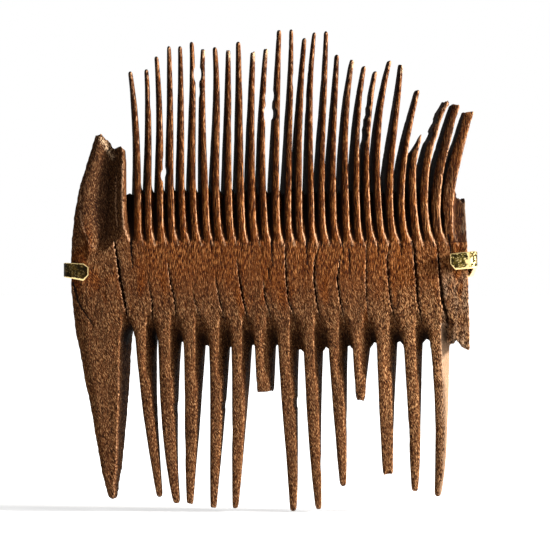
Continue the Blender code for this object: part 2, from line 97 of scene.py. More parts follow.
# how the plank thins towards the tips
FINE_TIP_THICKNESS = 0.0014
FINE_THINNING = 0.9
COARSE_TIP_THICKNESS = 0.0026
COARSE_THINNING = 1.2
# lean of the saw cuts through the thickness, at the left and the right end of each row
FINE_SLANT = (0.135, 0.235)
COARSE_SLANT = (-0.23, -0.25)
# lean of the fine teeth at their roots, as a share of the pitch
FINE_ROOT_LEAN = -0.20
LEFT_CLIP_GAP = 0.00045
RIGHT_CLIP_GAP = 0.00027
CLIP_THICKNESS = 0.0008

SPINE_TOP = 0.5 * (FINE_REACH + SPINE_HEIGHT + COARSE_REACH) - FINE_REACH
SPINE_BOTTOM = SPINE_TOP - SPINE_HEIGHT
ROW_WIDTH = FINE_COUNT * FINE_PITCH
COARSE_PITCH = ROW_WIDTH / COARSE_COUNT
CLIP_ROOM = LEFT_CLIP_GAP + RIGHT_CLIP_GAP + 2 * CLIP_THICKNESS
WIDTH = CLIP_ROOM + LEFT_GUARD_WIDTH + ROW_WIDTH + RIGHT_GUARD_WIDTH
LEFT_END = LEFT_CLIP_GAP + CLIP_THICKNESS - 0.5 * WIDTH
ROW_START = LEFT_END + LEFT_GUARD_WIDTH
RIGHT_END = ROW_START + ROW_WIDTH + RIGHT_GUARD_WIDTH
print(f"plank from x = {LEFT_END:.4f} to {RIGHT_END:.4f}")
print(f"spine from z = {SPINE_BOTTOM:.4f} to {SPINE_TOP:.4f}")

# %% Tables of the teeth and the cracks
# reach left, whole reach, lean at the four stations, bluntness of the tip
FINE_TEETH = (
    (0.80, 0.80, 0.0, -0.08, -0.17, -0.65, 0.3), (0.81, 0.81, 0.0, -0.16, -0.08, -0.24, 0.5),
    (0.87, 0.87, 0.0, -0.15, -0.10, -0.37, 0.5), (0.92, 0.92, 0.0, -0.24, -0.18, -0.27, 0.4),
    (0.92, 0.92, 0.0, -0.30, -0.24, -0.30, 0.3), (0.94, 0.94, 0.0, -0.34, -0.23, -0.29, 0.4),
    (0.91, 0.91, 0.0, -0.30, -0.38, -0.29, 0.8), (0.915, 0.915, 0.0, -0.32, -0.15, -0.28, 0.5),
    (0.905, 0.905, 0.0, -0.24, -0.15, -0.10, 0.8), (0.94, 0.94, 0.0, -0.20, -0.17, -0.23, 0.5),
    (0.90, 0.90, 0.0, -0.23, -0.13, 0.05, 0.6), (0.915, 0.915, 0.0, -0.27, -0.17, 0.21, 0.6),
    (0.995, 0.995, 0.0, -0.13, 0.09, 0.35, 0.7), (1.00, 1.00, 0.0, -0.04, 0.24, 0.41, 0.4),
    (0.96, 0.96, 0.0, -0.17, 0.10, 0.56, 0.3), (0.985, 0.985, 0.0, -0.12, -0.03, 0.43, 0.5),
    (0.99, 0.99, 0.0, -0.17, 0.16, 0.43, 0.5), (0.88, 0.88, 0.0, -0.24, 0.03, 0.38, 0.4),
    (0.86, 0.86, 0.0, -0.16, 0.04, 0.72, 0.6), (0.825, 0.825, 0.0, -0.19, 0.05, 0.75, 0.5),
    (0.80, 0.80, 0.0, -0.32, -0.06, 0.72, 0.5), (0.85, 0.85, 0.0, -0.37, -0.06, 0.97, 0.6),
    (0.835, 0.835, 0.0, -0.31, 0.30, 0.95, 0.8), (0.71, 0.71, 0.0, -0.31, 0.30, 1.39, 0.7),
    (0.51, 0.60, 0.0, -0.31, -0.23, 0.56, 0.1), (0.665, 0.80, 0.0, -0.35, 0.26, 1.92, 0.5),
    (0.645, 1.10, 0.0, -0.33, 0.49, 1.66, 0.9), (0.61, 1.80, 0.0, -0.05, 0.70, 1.84, 0.9),
)
COARSE_TEETH = (
    (0.925, 0.925, 0.115, 0.165, 0.38, 0.64, 0.6), (0.96, 0.96, 0.07, 0.025, 0.09, 0.33, 0.5),
    (0.965, 0.965, 0.06, 0.015, -0.08, -0.14, 0.8), (0.985, 0.985, 0.06, 0.025, -0.09, -0.19, 0.8),
    (0.985, 0.985, -0.02, -0.085, -0.2, -0.3, 0.7), (0.38, 0.97, -0.08, -0.085, -0.08, -0.08, 0.9),
    (1.0, 1.0, -0.11, -0.115, -0.01, 0.04, 0.4), (0.99, 0.99, -0.16, -0.125, -0.06, 0.07, 0.6),
    (0.87, 0.87, -0.15, -0.105, -0.02, 0.06, 0.5), (0.43, 0.46, -0.19, -0.195, -0.23, -0.23, 0.6),
    (0.825, 0.98, -0.16, -0.165, -0.16, -0.12, 0.9), (0.895, 0.895, -0.11, -0.075, -0.04, -0.04, 0.7),
    (0.925, 0.925, -0.05, 0.035, 0.03, -0.11, 0.3),
)
# width of each tooth against its row's
FINE_WIDTHS = (
    1.05, 0.98, 0.96, 0.97, 0.95, 1.00, 1.00, 1.08, 1.05, 1.05, 1.05, 0.97, 1.05, 0.92, 1.00, 0.88, 0.92,
    0.97, 1.02, 0.97, 0.94, 0.97, 1.05, 1.02, 1.02, 1.05, 1.15, 1.25,
)
COARSE_WIDTHS = (0.93, 1.12, 1.06, 1.0, 1.0, 1.0, 1.06, 1.0, 1.0, 1.0, 1.05, 1.0, 1.0)
# fine slot where each crack starts, then how far it strays at a quarter, a half and three
# quarters of the spine's height
CRACKS = (
    (-1.68, -0.015, -0.03, 0.0), (1, 0.05, -0.04, -0.03), (3, 0.0, -0.10, -0.14), (5, -0.20, -0.20, -0.10),
    (7, -0.13, -0.18, -0.10), (9, -0.11, -0.15, -0.17), (11, -0.17, -0.15, -0.06),
    (13, -0.20, -0.17, -0.09), (16, -0.15, -0.25, -0.21), (18, -0.17, -0.27, -0.16),
    (20, -0.09, -0.085, -0.04), (22, -0.15, -0.165, -0.17), (24, -0.075, -0.03, -0.025),
    (26, -0.08, -0.06, -0.028),
)
# how far each coarse slot's floor climbs down to its ridge, in millimetres, left to right
SLOT_CLIMBS = (1.15, 2.0, 3.8, 4.1, 4.7, 4.0, 4.3, 5.0, 4.75, 4.3, 3.8, 3.6, 3.1, 4.1)
# where along a tooth its leans are given
FINE_STATIONS = (0.0, 0.30, 0.65, 1.0)
COARSE_STATIONS = (0.0, 0.35, 0.70, 1.0)
print(len(FINE_TEETH), "fine teeth,", len(COARSE_TEETH), "coarse teeth,", len(CRACKS), "cracks")

# %% [markdown]
# ## Lines that every wooden piece shares
#
# Neighbouring pieces meet at a crack, so they have to agree on where it runs. These
# small functions give one answer to every piece that asks: how thick the plank is at a
# height, how a saw cut leans through it, and where a tooth, a slot or a crack is.

# %% Small sums
def mix(first, last, share):
    return first + (last - first) * share


def clamp(value):
    return np.clip(value, 0.0, 1.0)


def ease(value):
    """Nought to one with a soft start and a soft end."""
    share = clamp(value)
    return share * share * (3.0 - 2.0 * share)


def up_spine(z):
    return (z - SPINE_BOTTOM) / SPINE_HEIGHT


def table_at(values, along):
    """Reads values given at even steps, at a share of the way along them."""
    return np.interp(clamp(along), np.linspace(0, 1, len(values)), values)


def cubic_through(stations, values, place):
    """The smooth curve through four values at their stations, read at a place."""
    total = 0.0
    for i, station in enumerate(stations):
        weight = values[i]
        for j, other in enumerate(stations):
            if j != i:
                weight = weight * (place - other) / (station - other)
        total += weight
    return total


print("halfway through a soft start and end:", float(ease(0.5)))

# %% Shared lines
# past the spine, how soon a crack or a wall has turned into the line of its slot
TURN_LENGTH = 0.0013


def half_thickness(z):
    """Half the plank's thickness at a height."""
    full = 0.5 * SPINE_THICKNESS
    above = clamp((z - SPINE_TOP) / FINE_REACH) ** FINE_THINNING
    below = clamp((SPINE_BOTTOM - z) / COARSE_REACH) ** COARSE_THINNING
    return full + (0.5 * FINE_TIP_THICKNESS - full) * above + (0.5 * COARSE_TIP_THICKNESS - full) * below


def slant(x, z):
    """How far a saw cut leans to the left for each step back."""
    across = clamp((x - ROW_START) / ROW_WIDTH)
    return mix(mix(*COARSE_SLANT, across), mix(*FINE_SLANT, across), clamp(up_spine(z)))


def fine_x(number, z):
    """Middle line of a fine tooth at a height, with teeth numbered from one."""
    row = FINE_TEETH[number - 1]
    leans = (FINE_ROOT_LEAN, *row[3:6])
    lean = cubic_through(FINE_STATIONS, leans, (z - SPINE_TOP) / (row[0] * FINE_REACH))
    return ROW_START + (number - 0.5 + lean) * FINE_PITCH


def coarse_x(number, z):
    row = COARSE_TEETH[number - 1]
    lean = cubic_through(COARSE_STATIONS, row[2:6], (SPINE_BOTTOM - z) / (row[0] * COARSE_REACH))
    return ROW_START + (number - 0.5 + lean) * COARSE_PITCH


def slot_x(tooth_x, count, pitch, slot, z):
    """Middle line of a slot, halfway between the teeth on its two sides."""
    if slot <= 0:
        return tooth_x(1, z) - 0.5 * pitch
    if slot >= count:
        return tooth_x(count, z) + 0.5 * pitch
    return 0.5 * (tooth_x(slot, z) + tooth_x(slot + 1, z))


def crack_x(number, z):
    """Line of a crack at mid thickness, with cracks numbered from one."""
    fine_slot, *strays = CRACKS[number - 1]
    top = ROW_START + fine_slot * FINE_PITCH
    bottom = slot_x(coarse_x, COARSE_COUNT, COARSE_PITCH, number - 1, np.minimum(z, SPINE_BOTTOM))
    line = mix(bottom, top, clamp(up_spine(z))) + table_at((0.0, *strays, 0.0), up_spine(z)) * COARSE_PITCH
    if fine_slot < 0:
        return line
    rise = np.maximum(z - SPINE_TOP, 0.0)
    drift = slot_x(fine_x, FINE_COUNT, FINE_PITCH, fine_slot, SPINE_TOP + rise) - top
    return line + drift * (1.0 - np.exp(-rise / TURN_LENGTH))


print("crack 8 at mid spine: x =", round(float(crack_x(8, 0.5 * (SPINE_TOP + SPINE_BOTTOM))), 5))

# %% [markdown]
# ## Arithmetic in node trees
#
# A node tree is a drawing of a sum, and a long sum makes a big drawing. `Wire` lets us
# write the sum as Python does, with `+` and `*`, and makes one Math node for each sign.
# The same class serves geometry trees and shader groups.

# %% A number on a wire
class Wire:
    """A number in a node tree that can be added, multiplied and compared."""

    def __init__(self, tree, socket):
        self.tree = tree
        self.socket = socket

    def math(self, operation, *others):
        node = self.tree.nodes.new("ShaderNodeMath")
        node.operation = operation
        for place, value in enumerate((self, *others)):
            plug(self.tree, value, node.inputs[place])
        return Wire(self.tree, node.outputs[0])

    def __add__(self, other):
        return self.math("ADD", other)

    def __sub__(self, other):
        return self.math("SUBTRACT", other)

    def __rsub__(self, other):
        return self * -1.0 + other

    def __mul__(self, other):
        return self.math("MULTIPLY", other)

    __radd__ = __add__
    __rmul__ = __mul__

    def __truediv__(self, other):
        return self.math("DIVIDE", other)

    def __pow__(self, other):
        return self.math("POWER", other)

    def __abs__(self):
        return self.math("ABSOLUTE")

    def below(self, limit):
        return self.math("MINIMUM", limit)

    def above(self, limit):
        return self.math("MAXIMUM", limit)

    def within_one(self):
        return self.above(0.0).below(1.0)

    def share(self, low, high):
        """Nought at low and below, one at high and above, and smooth between."""
        node = add_node(self.tree, "ShaderNodeMapRange",
                        {"Value": self, "From Min": low, "From Max": high}, interpolation_type="SMOOTHSTEP")
        return Wire(self.tree, node.outputs["Result"])


print("wires ready")

# %% Nodes and trees
def plug(tree, value, socket):
    """Links a wire or an output to a socket, or sets a plain value on it."""
    if isinstance(value, Wire):
        tree.links.new(value.socket, socket)
    elif isinstance(value, bpy.types.NodeSocket):
        tree.links.new(value, socket)
    else:
        socket.default_value = value


def add_node(tree, kind, inputs=None, **settings):
    """A node with its settings made and its inputs linked or set, by name or by place."""
    node = tree.nodes.new(kind)
    for name, value in settings.items():
        setattr(node, name, value)
    for name, value in (inputs or {}).items():
        plug(tree, value, node.inputs[name])
    return node


def new_tree(name, kind, inputs, outputs):
    """A tree or group as (tree, its inputs by name, its output node).

    An input is given by its default number, or by the kind of its socket.
    """
    tree = bpy.data.node_groups.new(name, kind)
    for socket_name, value in inputs.items():
        kind_of_socket = value if isinstance(value, str) else type(value).__name__.title()
        made = tree.interface.new_socket(
            socket_name, in_out="INPUT", socket_type="NodeSocket" + kind_of_socket)
        if not isinstance(value, str):
            made.default_value = value
    for socket_name, kind_of_socket in outputs.items():
        tree.interface.new_socket(socket_name, in_out="OUTPUT", socket_type="NodeSocket" + kind_of_socket)
    start = tree.nodes.new("NodeGroupInput")
    return tree, {s.name: Wire(tree, s) for s in start.outputs if s.name}, tree.nodes.new("NodeGroupOutput")


print("node helpers ready")

# %% Places, attributes and noise in a tree
def axes_of(tree, place):
    """The three numbers of a place, as wires."""
    node = add_node(tree, "ShaderNodeSeparateXYZ", {0: place})
    return [Wire(tree, node.outputs[i]) for i in range(3)]


def place_of(tree, x, y, z):
    return add_node(tree, "ShaderNodeCombineXYZ", {0: x, 1: y, 2: z}).outputs[0]


def along_all(tree, value):
    """One number as the x, the y and the z of a vector."""
    return place_of(tree, value, value, value)


def position(tree):
    return tree.nodes.new("GeometryNodeInputPosition").outputs[0]


def normal(tree):
    return tree.nodes.new("GeometryNodeInputNormal").outputs[0]


def read_attribute(tree, name, data_type="FLOAT"):
    node = add_node(tree, "GeometryNodeInputNamedAttribute", {"Name": name}, data_type=data_type)
    return node.outputs["Attribute"]


def store_attribute(tree, geometry, name, value, data_type="FLOAT"):
    node = add_node(tree, "GeometryNodeStoreNamedAttribute",
                    {"Geometry": geometry, "Name": name, "Value": value}, data_type=data_type, domain="POINT")
    return node.outputs[0]


def push_along(tree, geometry, way, distance):
    """Moves each point of a geometry along its way."""
    push = add_node(tree, "ShaderNodeVectorMath", {0: way, "Scale": distance}, operation="SCALE")
    moved = add_node(tree, "GeometryNodeSetPosition", {"Geometry": geometry, "Offset": push.outputs[0]})
    return moved.outputs[0]


def end_tree(tree, geometry, finish, out):
    """Ends a geometry tree: its instances made real, with the finish on them."""
    solid = add_node(tree, "GeometryNodeRealizeInstances", {0: geometry})
    painted = add_node(tree, "GeometryNodeSetMaterial", {"Geometry": solid.outputs[0], "Material": finish})
    plug(tree, painted.outputs[0], out.inputs["Geometry"])


def noise(tree, place, detail=2.0, roughness=0.5):
    """Noise between nought and one at a place, as a wire."""
    made = add_node(tree, "ShaderNodeTexNoise", {
        "Vector": place, "Scale": 1.0, "Detail": detail, "Roughness": roughness}, noise_dimensions="3D")
    return Wire(tree, made.outputs[0])


def stretched(tree, place, factors, shift=(0.0, 0.0, 0.0)):
    """A place scaled along each axis, to stretch a pattern along the grain."""
    scaled = add_node(tree, "ShaderNodeVectorMath",
                      {0: place, 1: factors, 2: shift}, operation="MULTIPLY_ADD")
    return scaled.outputs[0]


def put_out(tree, out, values):
    """Links a group's results to its outputs, by name."""
    for name, value in values.items():
        plug(tree, value, out.inputs[name])


print("tree helpers ready")

# %% [markdown]
# ## The rows of teeth
#
# Twenty-eight fine teeth and thirteen coarse ones are the same form at different sizes,
# so one Geometry Nodes tree makes both rows. We could model one tooth and copy it, but
# then every tooth would be alike, and here each one leans and wears in its own way.
#
# Each row starts as one vertex for each tooth, carrying its numbers as attributes. The
# tree puts a plain tube on every vertex, and then pulls each tube into its own tooth: a
# rounded box at the root that thins towards the tip, with its front edges worn back. Near
# the floor of a slot the tooth flares, so it runs into the spine in a hollow curve.

# %% The tooth tree
def signed_power(value, exponent):
    return value.math("SIGN") * (abs(value) ** exponent)


def tooth_tree():
    tree, given, out = new_tree("Comb teeth", "GeometryNodeTree", {
        "Geometry": "Geometry", "Around": 28, "Along": 150, "Root Z": 0.0, "Way": 1.0, "Row Reach": 0.04,
        "Root Width": 0.0014, "Tip Width": 0.0008, "Narrowing": 1.6, "Root Thickness": 0.009,
        "Tip Thickness": 0.0018, "Thinning": 1.1, "Climb": 0.009, "Climb Power": 1.6, "Sunk": 0.0015,
        "Flare Left": 0.0, "Flare Right": 0.0, "Flare Length": 0.001, "Tip Round": 0.0006,
        "Root Squareness": 0.3, "Tip Squareness": 0.8, "Slant Ease": 0.0, "Fall Left": 0.0, "Fall Right": 0.0,
        "Worn Edge": 0.0008, "Floor Drop": 0.0, **{f"Station {i}": 0.0 for i in range(4)},
        "Finish": "Material"}, {"Geometry": "Geometry"})
    tube = add_node(tree, "GeometryNodeMeshCylinder", {
        "Vertices": given["Around"], "Side Segments": given["Along"], "Radius": 1.0, "Depth": 1.0})
    kept = store_attribute(tree, tube.outputs["Mesh"], "tube", position(tree), "FLOAT_VECTOR")
    placed = add_node(tree, "GeometryNodeInstanceOnPoints", {"Points": given["Geometry"], "Instance": kept})
    realized = add_node(tree, "GeometryNodeRealizeInstances", {0: placed.outputs[0]})
    across, deep, up = axes_of(tree, read_attribute(tree, "tube", "FLOAT_VECTOR"))
    number = {name: Wire(tree, read_attribute(tree, name))
              for name in ("reach", "whole", "slant", "blunt", "wide", "round", "x0", "x1", "x2", "x3")}

    length = number["reach"] * given["Row Reach"]
    distance = (up + 0.5) * (length + given["Sunk"]) - given["Sunk"]
    along = (distance / (number["whole"] * given["Row Reach"])).within_one()
    stations = [given[f"Station {i}"] for i in range(4)]
    centre = cubic_through(stations, [number[f"x{i}"] for i in range(4)], distance / length)

    to_tip = ((length - distance) / given["Tip Round"]).within_one()
    cap = mix(number["blunt"], 1.0, (1.0 - (1.0 - to_tip) ** 2.0) ** 0.5)
    half_width = mix(given["Root Width"], given["Tip Width"], along ** given["Narrowing"]) * 0.5
    half_width = half_width * number["wide"]
    thinned = (distance / given["Row Reach"]).above(0.0) ** given["Thinning"]
    half_depth = mix(given["Root Thickness"], given["Tip Thickness"], thinned) * 0.5
    square = mix(given["Root Squareness"], given["Tip Squareness"], along) * number["round"]
    side = signed_power(across, square)
    depth_share = signed_power(deep, square)

    floor = (1.0 - abs(depth_share) ** given["Climb Power"]) * given["Climb"] - given["Floor Drop"]
    flare = ((distance - floor).above(0.0) / given["Flare Length"] * -1.0).math("EXPONENT")
    widen = side.above(0.0) * given["Flare Right"] + side.below(0.0) * given["Flare Left"]
    into_edge = ((side - 1.0) * half_width / given["Worn Edge"] + 1.0).above(0.0)
    fall = (0.5 - side * 0.5) ** 2.0 * given["Fall Left"] + into_edge ** 1.3 * given["Fall Right"]
    fall = fall * depth_share.below(0.0) * (1.0 - along * 0.5)
    y = depth_share * half_depth * cap - fall
    tilt = number["slant"] * (1.0 - along * given["Slant Ease"]).above(0.0)
    x = centre + side * half_width * cap + widen * flare - tilt * y
    point = place_of(tree, x, y, distance * given["Way"] + given["Root Z"])
    shaped = add_node(tree, "GeometryNodeSetPosition", {"Geometry": realized.outputs[0], "Position": point})
    end_tree(tree, shaped.outputs[0], given["Finish"], out)
    return tree


TOOTH_TREE = tooth_tree()
print("tooth tree:", len(TOOTH_TREE.nodes), "nodes")

# %% [markdown]
# ## From a tree to a mesh
#
# A modifier's result isn't a mesh of its own yet. We hang the tree on an object that
# only carries it, let Blender evaluate it, keep the mesh and remove the carrier. The rows
# are kept as plain arrays of points, because each tooth is still to be bitten and broken.

# %% Baking a tree into a mesh
def place_object(name, data):
    made = bpy.data.objects.new(name, data)
    bpy.context.scene.collection.objects.link(made)
    return made


def evaluated_mesh(carrier):
    """The mesh that an object's modifiers make. The object itself is removed."""
    bpy.context.view_layer.update()
    evaluated = carrier.evaluated_get(bpy.context.evaluated_depsgraph_get())
    made = bpy.data.meshes.new_from_object(evaluated)
    bpy.data.objects.remove(carrier)
    return made


def bake(name, source_mesh, tree, inputs):
    """A new mesh from a tree run on a source mesh, with inputs set by name."""
    carrier = place_object(name, source_mesh)
    modifier = carrier.modifiers.new(name, "NODES")
    modifier.node_group = tree
    by_name = {item.name: item.identifier for item in tree.interface.items_tree if item.in_out == "INPUT"}
    for socket_name, value in inputs.items():
        modifier[by_name[socket_name]] = value
    return evaluated_mesh(carrier)


def mesh_arrays(mesh):
    """A mesh's points, and its faces as lists of point numbers."""
    points = np.empty(len(mesh.vertices) * 3)
    mesh.vertices.foreach_get("co", points)
    return points.reshape(-1, 3), [tuple(face.vertices) for face in mesh.polygons]


print("baking helpers ready")

# %% Make the two rows of teeth
# a tooth that broke this much short has a softer outline
BROKEN_BY = 0.03
BROKEN_SQUARENESS = 0.45
# the stump of a tooth that was to be this long stands straighter in its cut
LONG_WHOLE = 1.5
LONG_SLANT = 0.7


def tooth_points(name, table, pitch, tilt, widths, root_lean):
    """One vertex for each tooth, with the tooth's numbers as attributes."""
    mesh = bpy.data.meshes.new(name)
    mesh.from_pydata([(ROW_START + (i + 0.5) * pitch, 0.0, 0.0) for i in range(len(table))], [], [])
    slants = [mix(*tilt, (i + 0.5) / len(table)) for i in range(len(table))]
    slants = [lean * (LONG_SLANT if row[1] > LONG_WHOLE else 1.0) for lean, row in zip(slants, table)]
    columns = {
        "reach": [row[0] for row in table], "whole": [row[1] for row in table],
        "blunt": [row[6] for row in table], "wide": widths,
        "round": [BROKEN_SQUARENESS if row[1] > row[0] + BROKEN_BY else 1.0 for row in table],
        "slant": slants}
    for station in range(4):
        leans = [row[2 + station] + (root_lean if station == 0 else 0.0) for row in table]
        columns[f"x{station}"] = [ROW_START + (i + 0.5 + lean) * pitch for i, lean in enumerate(leans)]
    for column, values in columns.items():
        mesh.attributes.new(column, "FLOAT", "POINT").data.foreach_set("value", values)
    return mesh


def row_of_teeth(name, points, stations, sizes):
    """Every tooth of a row as its own (points, faces)."""
    count = len(points.vertices)
    sizes = {**sizes, **{f"Station {i}": value for i, value in enumerate(stations)}}
    baked, faces = mesh_arrays(bake(name, points, TOOTH_TREE, sizes))
    each = len(baked) // count
    teeth = [baked[i * each:(i + 1) * each].copy() for i in range(count)]
    return teeth, faces[:len(faces) // count]


fine_points = tooth_points("fine_points", FINE_TEETH, FINE_PITCH, FINE_SLANT, FINE_WIDTHS, FINE_ROOT_LEAN)
fine_teeth, fine_faces = row_of_teeth("fine_row", fine_points, FINE_STATIONS, {
    "Root Z": SPINE_TOP, "Way": 1.0, "Row Reach": FINE_REACH, "Sunk": SEAT,
    "Root Width": FINE_ROOT_WIDTH, "Tip Width": 0.00076, "Narrowing": 2.6,
    "Root Thickness": SPINE_THICKNESS, "Tip Thickness": FINE_TIP_THICKNESS, "Thinning": FINE_THINNING,
    "Climb": FINE_CLIMB, "Climb Power": FINE_CLIMB_POWER, "Floor Drop": FLOOR_DROP,
    "Flare Right": FINE_FLARE, "Flare Left": -0.00040, "Flare Length": 0.0010, "Tip Round": 0.0006,
    "Root Squareness": 0.18, "Tip Squareness": 0.62, "Slant Ease": 0.45,
    "Fall Left": 0.00022, "Fall Right": 0.00034, "Worn Edge": 0.00042})
coarse_points = tooth_points("coarse_points", COARSE_TEETH, COARSE_PITCH, COARSE_SLANT, COARSE_WIDTHS, 0.0)
coarse_teeth, coarse_faces = row_of_teeth("coarse_row", coarse_points, COARSE_STATIONS, {
    "Root Z": SPINE_BOTTOM, "Way": -1.0, "Row Reach": COARSE_REACH, "Around": 36,
    "Root Width": 0.00250, "Tip Width": 0.0011, "Narrowing": 3.3,
    "Root Thickness": SPINE_THICKNESS, "Tip Thickness": COARSE_TIP_THICKNESS, "Thinning": COARSE_THINNING,
    "Climb": COARSE_CLIMB, "Climb Power": COARSE_CLIMB_POWER,
    "Flare Right": 0.0005, "Flare Left": 0.0006, "Flare Length": 0.0014, "Tip Round": 0.0009,
    "Root Squareness": 0.30, "Tip Squareness": 0.30, "Slant Ease": 1.2, "Fall Right": 0.00025})
coarse_faces = [face[::-1] for face in coarse_faces]
print("each fine tooth has", len(fine_teeth[0]), "points; the first ends at z =",
      round(fine_teeth[0][:, 2].max(), 4))

# %% [markdown]
# ## Bites, breaks and splinters
#
# Rot and wear took small bites out of some teeth, and others broke off. A bite doesn't
# follow the rule of the row, so each one is listed: each line of the table names a
# tooth, the height of the bite, its half length, how deep it goes and from which side.
# The points of the tooth are pulled in there before the pieces are fused.

# %% Bites along the teeth
# tooth, height z, half length, depth, side (1 right, -1 left), in millimetres
FINE_BITES = (
    (3, 17.4, 1.1, 0.62, 1), (3, 19.6, 1.2, 0.15, 1), (4, 18.2, 0.8, 0.25, -1), (6, 36.1, 1.3, 0.42, 1),
    (7, 36.2, 1.2, 0.42, -1), (7, 33.0, 1.0, 0.15, -1), (12, 28.8, 1.3, 0.42, 1), (12, 31.8, 0.8, 0.15, 1),
    (13, 32.2, 0.9, 0.30, -1), (13, 28.9, 1.1, 0.45, -1), (14, 35.0, 1.2, 0.2, 1),
    (21, 31.0, 0.9, 0.30, -1), (21, 29.0, 1.0, 0.42, -1), (21, 27.0, 0.7, 0.22, -1),
    (21, 24.7, 1.1, 0.42, -1), (20, 31.5, 1.6, 0.12, 1), (24, 27.8, 0.5, 0.12, -1),
    (26, 27.9, 4.3, 0.85, -1), (26, 26.3, 0.9, -0.50, -1), (26, 27.5, 0.5, 0.25, -1),
    (27, 27.0, 1.5, 0.15, 1), (27, 22.6, 0.4, 0.15, -1), (25, 25.2, 1.1, 0.34, 1),
    (25, 23.4, 0.5, -0.14, 1), (25, 25.8, 3.4, 0.62, -1), (28, 24.0, 14.0, -0.80, -1),
    (2, 31.0, 1.5, 0.12, 1), (9, 27.0, 1.8, 0.1, 1), (16, 30.5, 1.5, 0.12, -1),
)
COARSE_BITES = (
    (2, -25.5, 1.2, 0.18, 1), (4, -25.0, 0.8, 0.22, 1), (7, -24.6, 1.0, 0.3, 1), (5, -30.0, 1.5, 0.12, -1),
    (9, -28.0, 2.0, 0.12, 1), (12, -30.0, 2.2, 0.15, -1), (8, -36.0, 1.5, 0.12, 1),
    (3, -33.0, 2.0, 0.1, -1),
)
# how full a bite is: one half gives a round bite, and a smaller power a squarer one
BITE_POWER = 0.55


def take_bites(teeth, bites, tilt):
    for number, height, half_length, depth, side in bites:
        points = teeth[number - 1]
        near = clamp(1.0 - ((points[:, 2] - height * MM) / (half_length * MM)) ** 2) ** BITE_POWER
        band = near > 0.0
        cut = points[:, 0] + mix(*tilt, number / len(teeth)) * points[:, 1]
        middle = 0.5 * (cut[band].max() + cut[band].min())
        reach = 0.5 * (cut[band].max() - cut[band].min())
        points[:, 0] -= side * near * depth * MM * clamp(side * (cut - middle) / reach)


take_bites(fine_teeth, FINE_BITES, FINE_SLANT)
take_bites(coarse_teeth, COARSE_BITES, COARSE_SLANT)
print(len(FINE_BITES) + len(COARSE_BITES), "bites taken")

# %% Torn ends
# broken teeth, and how unevenly each has torn, in millimetres
FINE_TEARS = ((7, 0.4), (9, 0.4), (11, 0.6), (12, 0.6), (19, 0.5), (23, 0.4), (26, 1.0), (27, 0.6), (28, 0.5))
COARSE_TEARS = ((6, 0.5), (10, 0.9), (11, 1.4), (3, 0.3), (4, 0.2))
# the tooth that broke to a splinter, how steep its end is, and how far down it starts
SPLINTERED = 25
SPLINTER_STEEPNESS = 1.9
SPLINTER_LENGTH = 4.0 * MM


def leave_splinter(points, steepness, length):
    """Leaves a broken tooth a sharp end: its left side falls away below the right edge."""
    below = points[:, 2].max() - points[:, 2]
    near = clamp(1.0 - below / length)
    end = below < 0.1 * length
    foot = (below > 0.85 * length) & (below < 1.15 * length)
    lean = (points[end, 0].mean() - points[foot, 0].mean()) / length
    inward = np.maximum(points[end, 0].max() - points[:, 0] - lean * below, 0.0)
    points[:, 2] -= steepness * near * inward


def break_tip(points, way, depth, seed):
    """Tears the flat end of a broken tooth: its end points move back by uneven steps."""
    x, y, z = points.T
    near = clamp(1.0 - np.abs(z - way * (way * z).max()) / (2.5 * depth))
    tear = 0.5 + 0.5 * np.sin(x * 4100 + y * 2300 + seed) * np.cos(y * 3700 - seed)
    points[:, 2] -= way * near * depth * tear


for number, depth in FINE_TEARS:
    break_tip(fine_teeth[number - 1], 1, depth * MM, number)
for number, depth in COARSE_TEARS:
    break_tip(coarse_teeth[number - 1], -1, depth * MM, number)
leave_splinter(fine_teeth[SPLINTERED - 1], SPLINTER_STEEPNESS, SPLINTER_LENGTH)
print(len(FINE_TEARS) + len(COARSE_TEARS), "ends torn; the splinter ends at z =",
      round(fine_teeth[SPLINTERED - 1][:, 2].max(), 4))

# %% [markdown]
# ## The staves of the spine
#
# Between two cracks the spine is a block. Its top and bottom are the floors of the
# slots, which climb from both faces to a ridge in the middle, as a saw held at a slant
# from each side leaves them. A crack isn't one width all the way: some gape along the
# whole spine and others have closed to nothing halfway up. A width below zero lets two
# neighbours overlap a little, so that no line shows where the wood hasn't split.

# %% Widths and paths of the cracks
# width in millimetres at even steps from the foot of the spine to its top
CRACK_WIDTHS = (
    (0.20, 0.60, 0.65, 0.55, 0.30), (0.35, 0.30, 0.05, -1.0, -1.0), (0.20, 0.35, 0.30, 0.00, -1.0),
    (0.16, 0.16, -0.5, -1.0, -1.0), (0.20, 0.32, 0.15, -1.0, -1.0), (0.25, 0.38, 0.36, 0.12, -1.0),
    (0.15, 0.30, 0.05, -1.0, -1.0), (0.12, 0.32, 0.38, 0.34, 0.16), (0.20, 0.38, 0.40, 0.34, 0.00),
    (0.20, 0.30, 0.34, 0.12, -1.0), (0.15, 0.20, 0.25, 0.30, 0.20), (0.15, 0.28, 0.36, 0.36, 0.30),
    (0.25, 0.40, 0.55, 0.62, 0.60), (0.85, 0.72, 0.62, 0.52, 0.45),
)
CLOSED_WIDTH = -1.0
# past the spine a crack closes within these lengths, above and below
CLOSES_ABOVE = 1.2 * MM
CLOSES_BELOW = 5.0 * MM


def crack_width(number, z):
    """Width of a crack at a height in millimetres, below nought where it is closed."""
    width = table_at(CRACK_WIDTHS[number - 1], up_spine(z))
    width = mix(width, CLOSED_WIDTH, clamp((z - SPINE_TOP) / CLOSES_ABOVE))
    return mix(width, CLOSED_WIDTH, clamp((SPINE_BOTTOM - z) / CLOSES_BELOW))


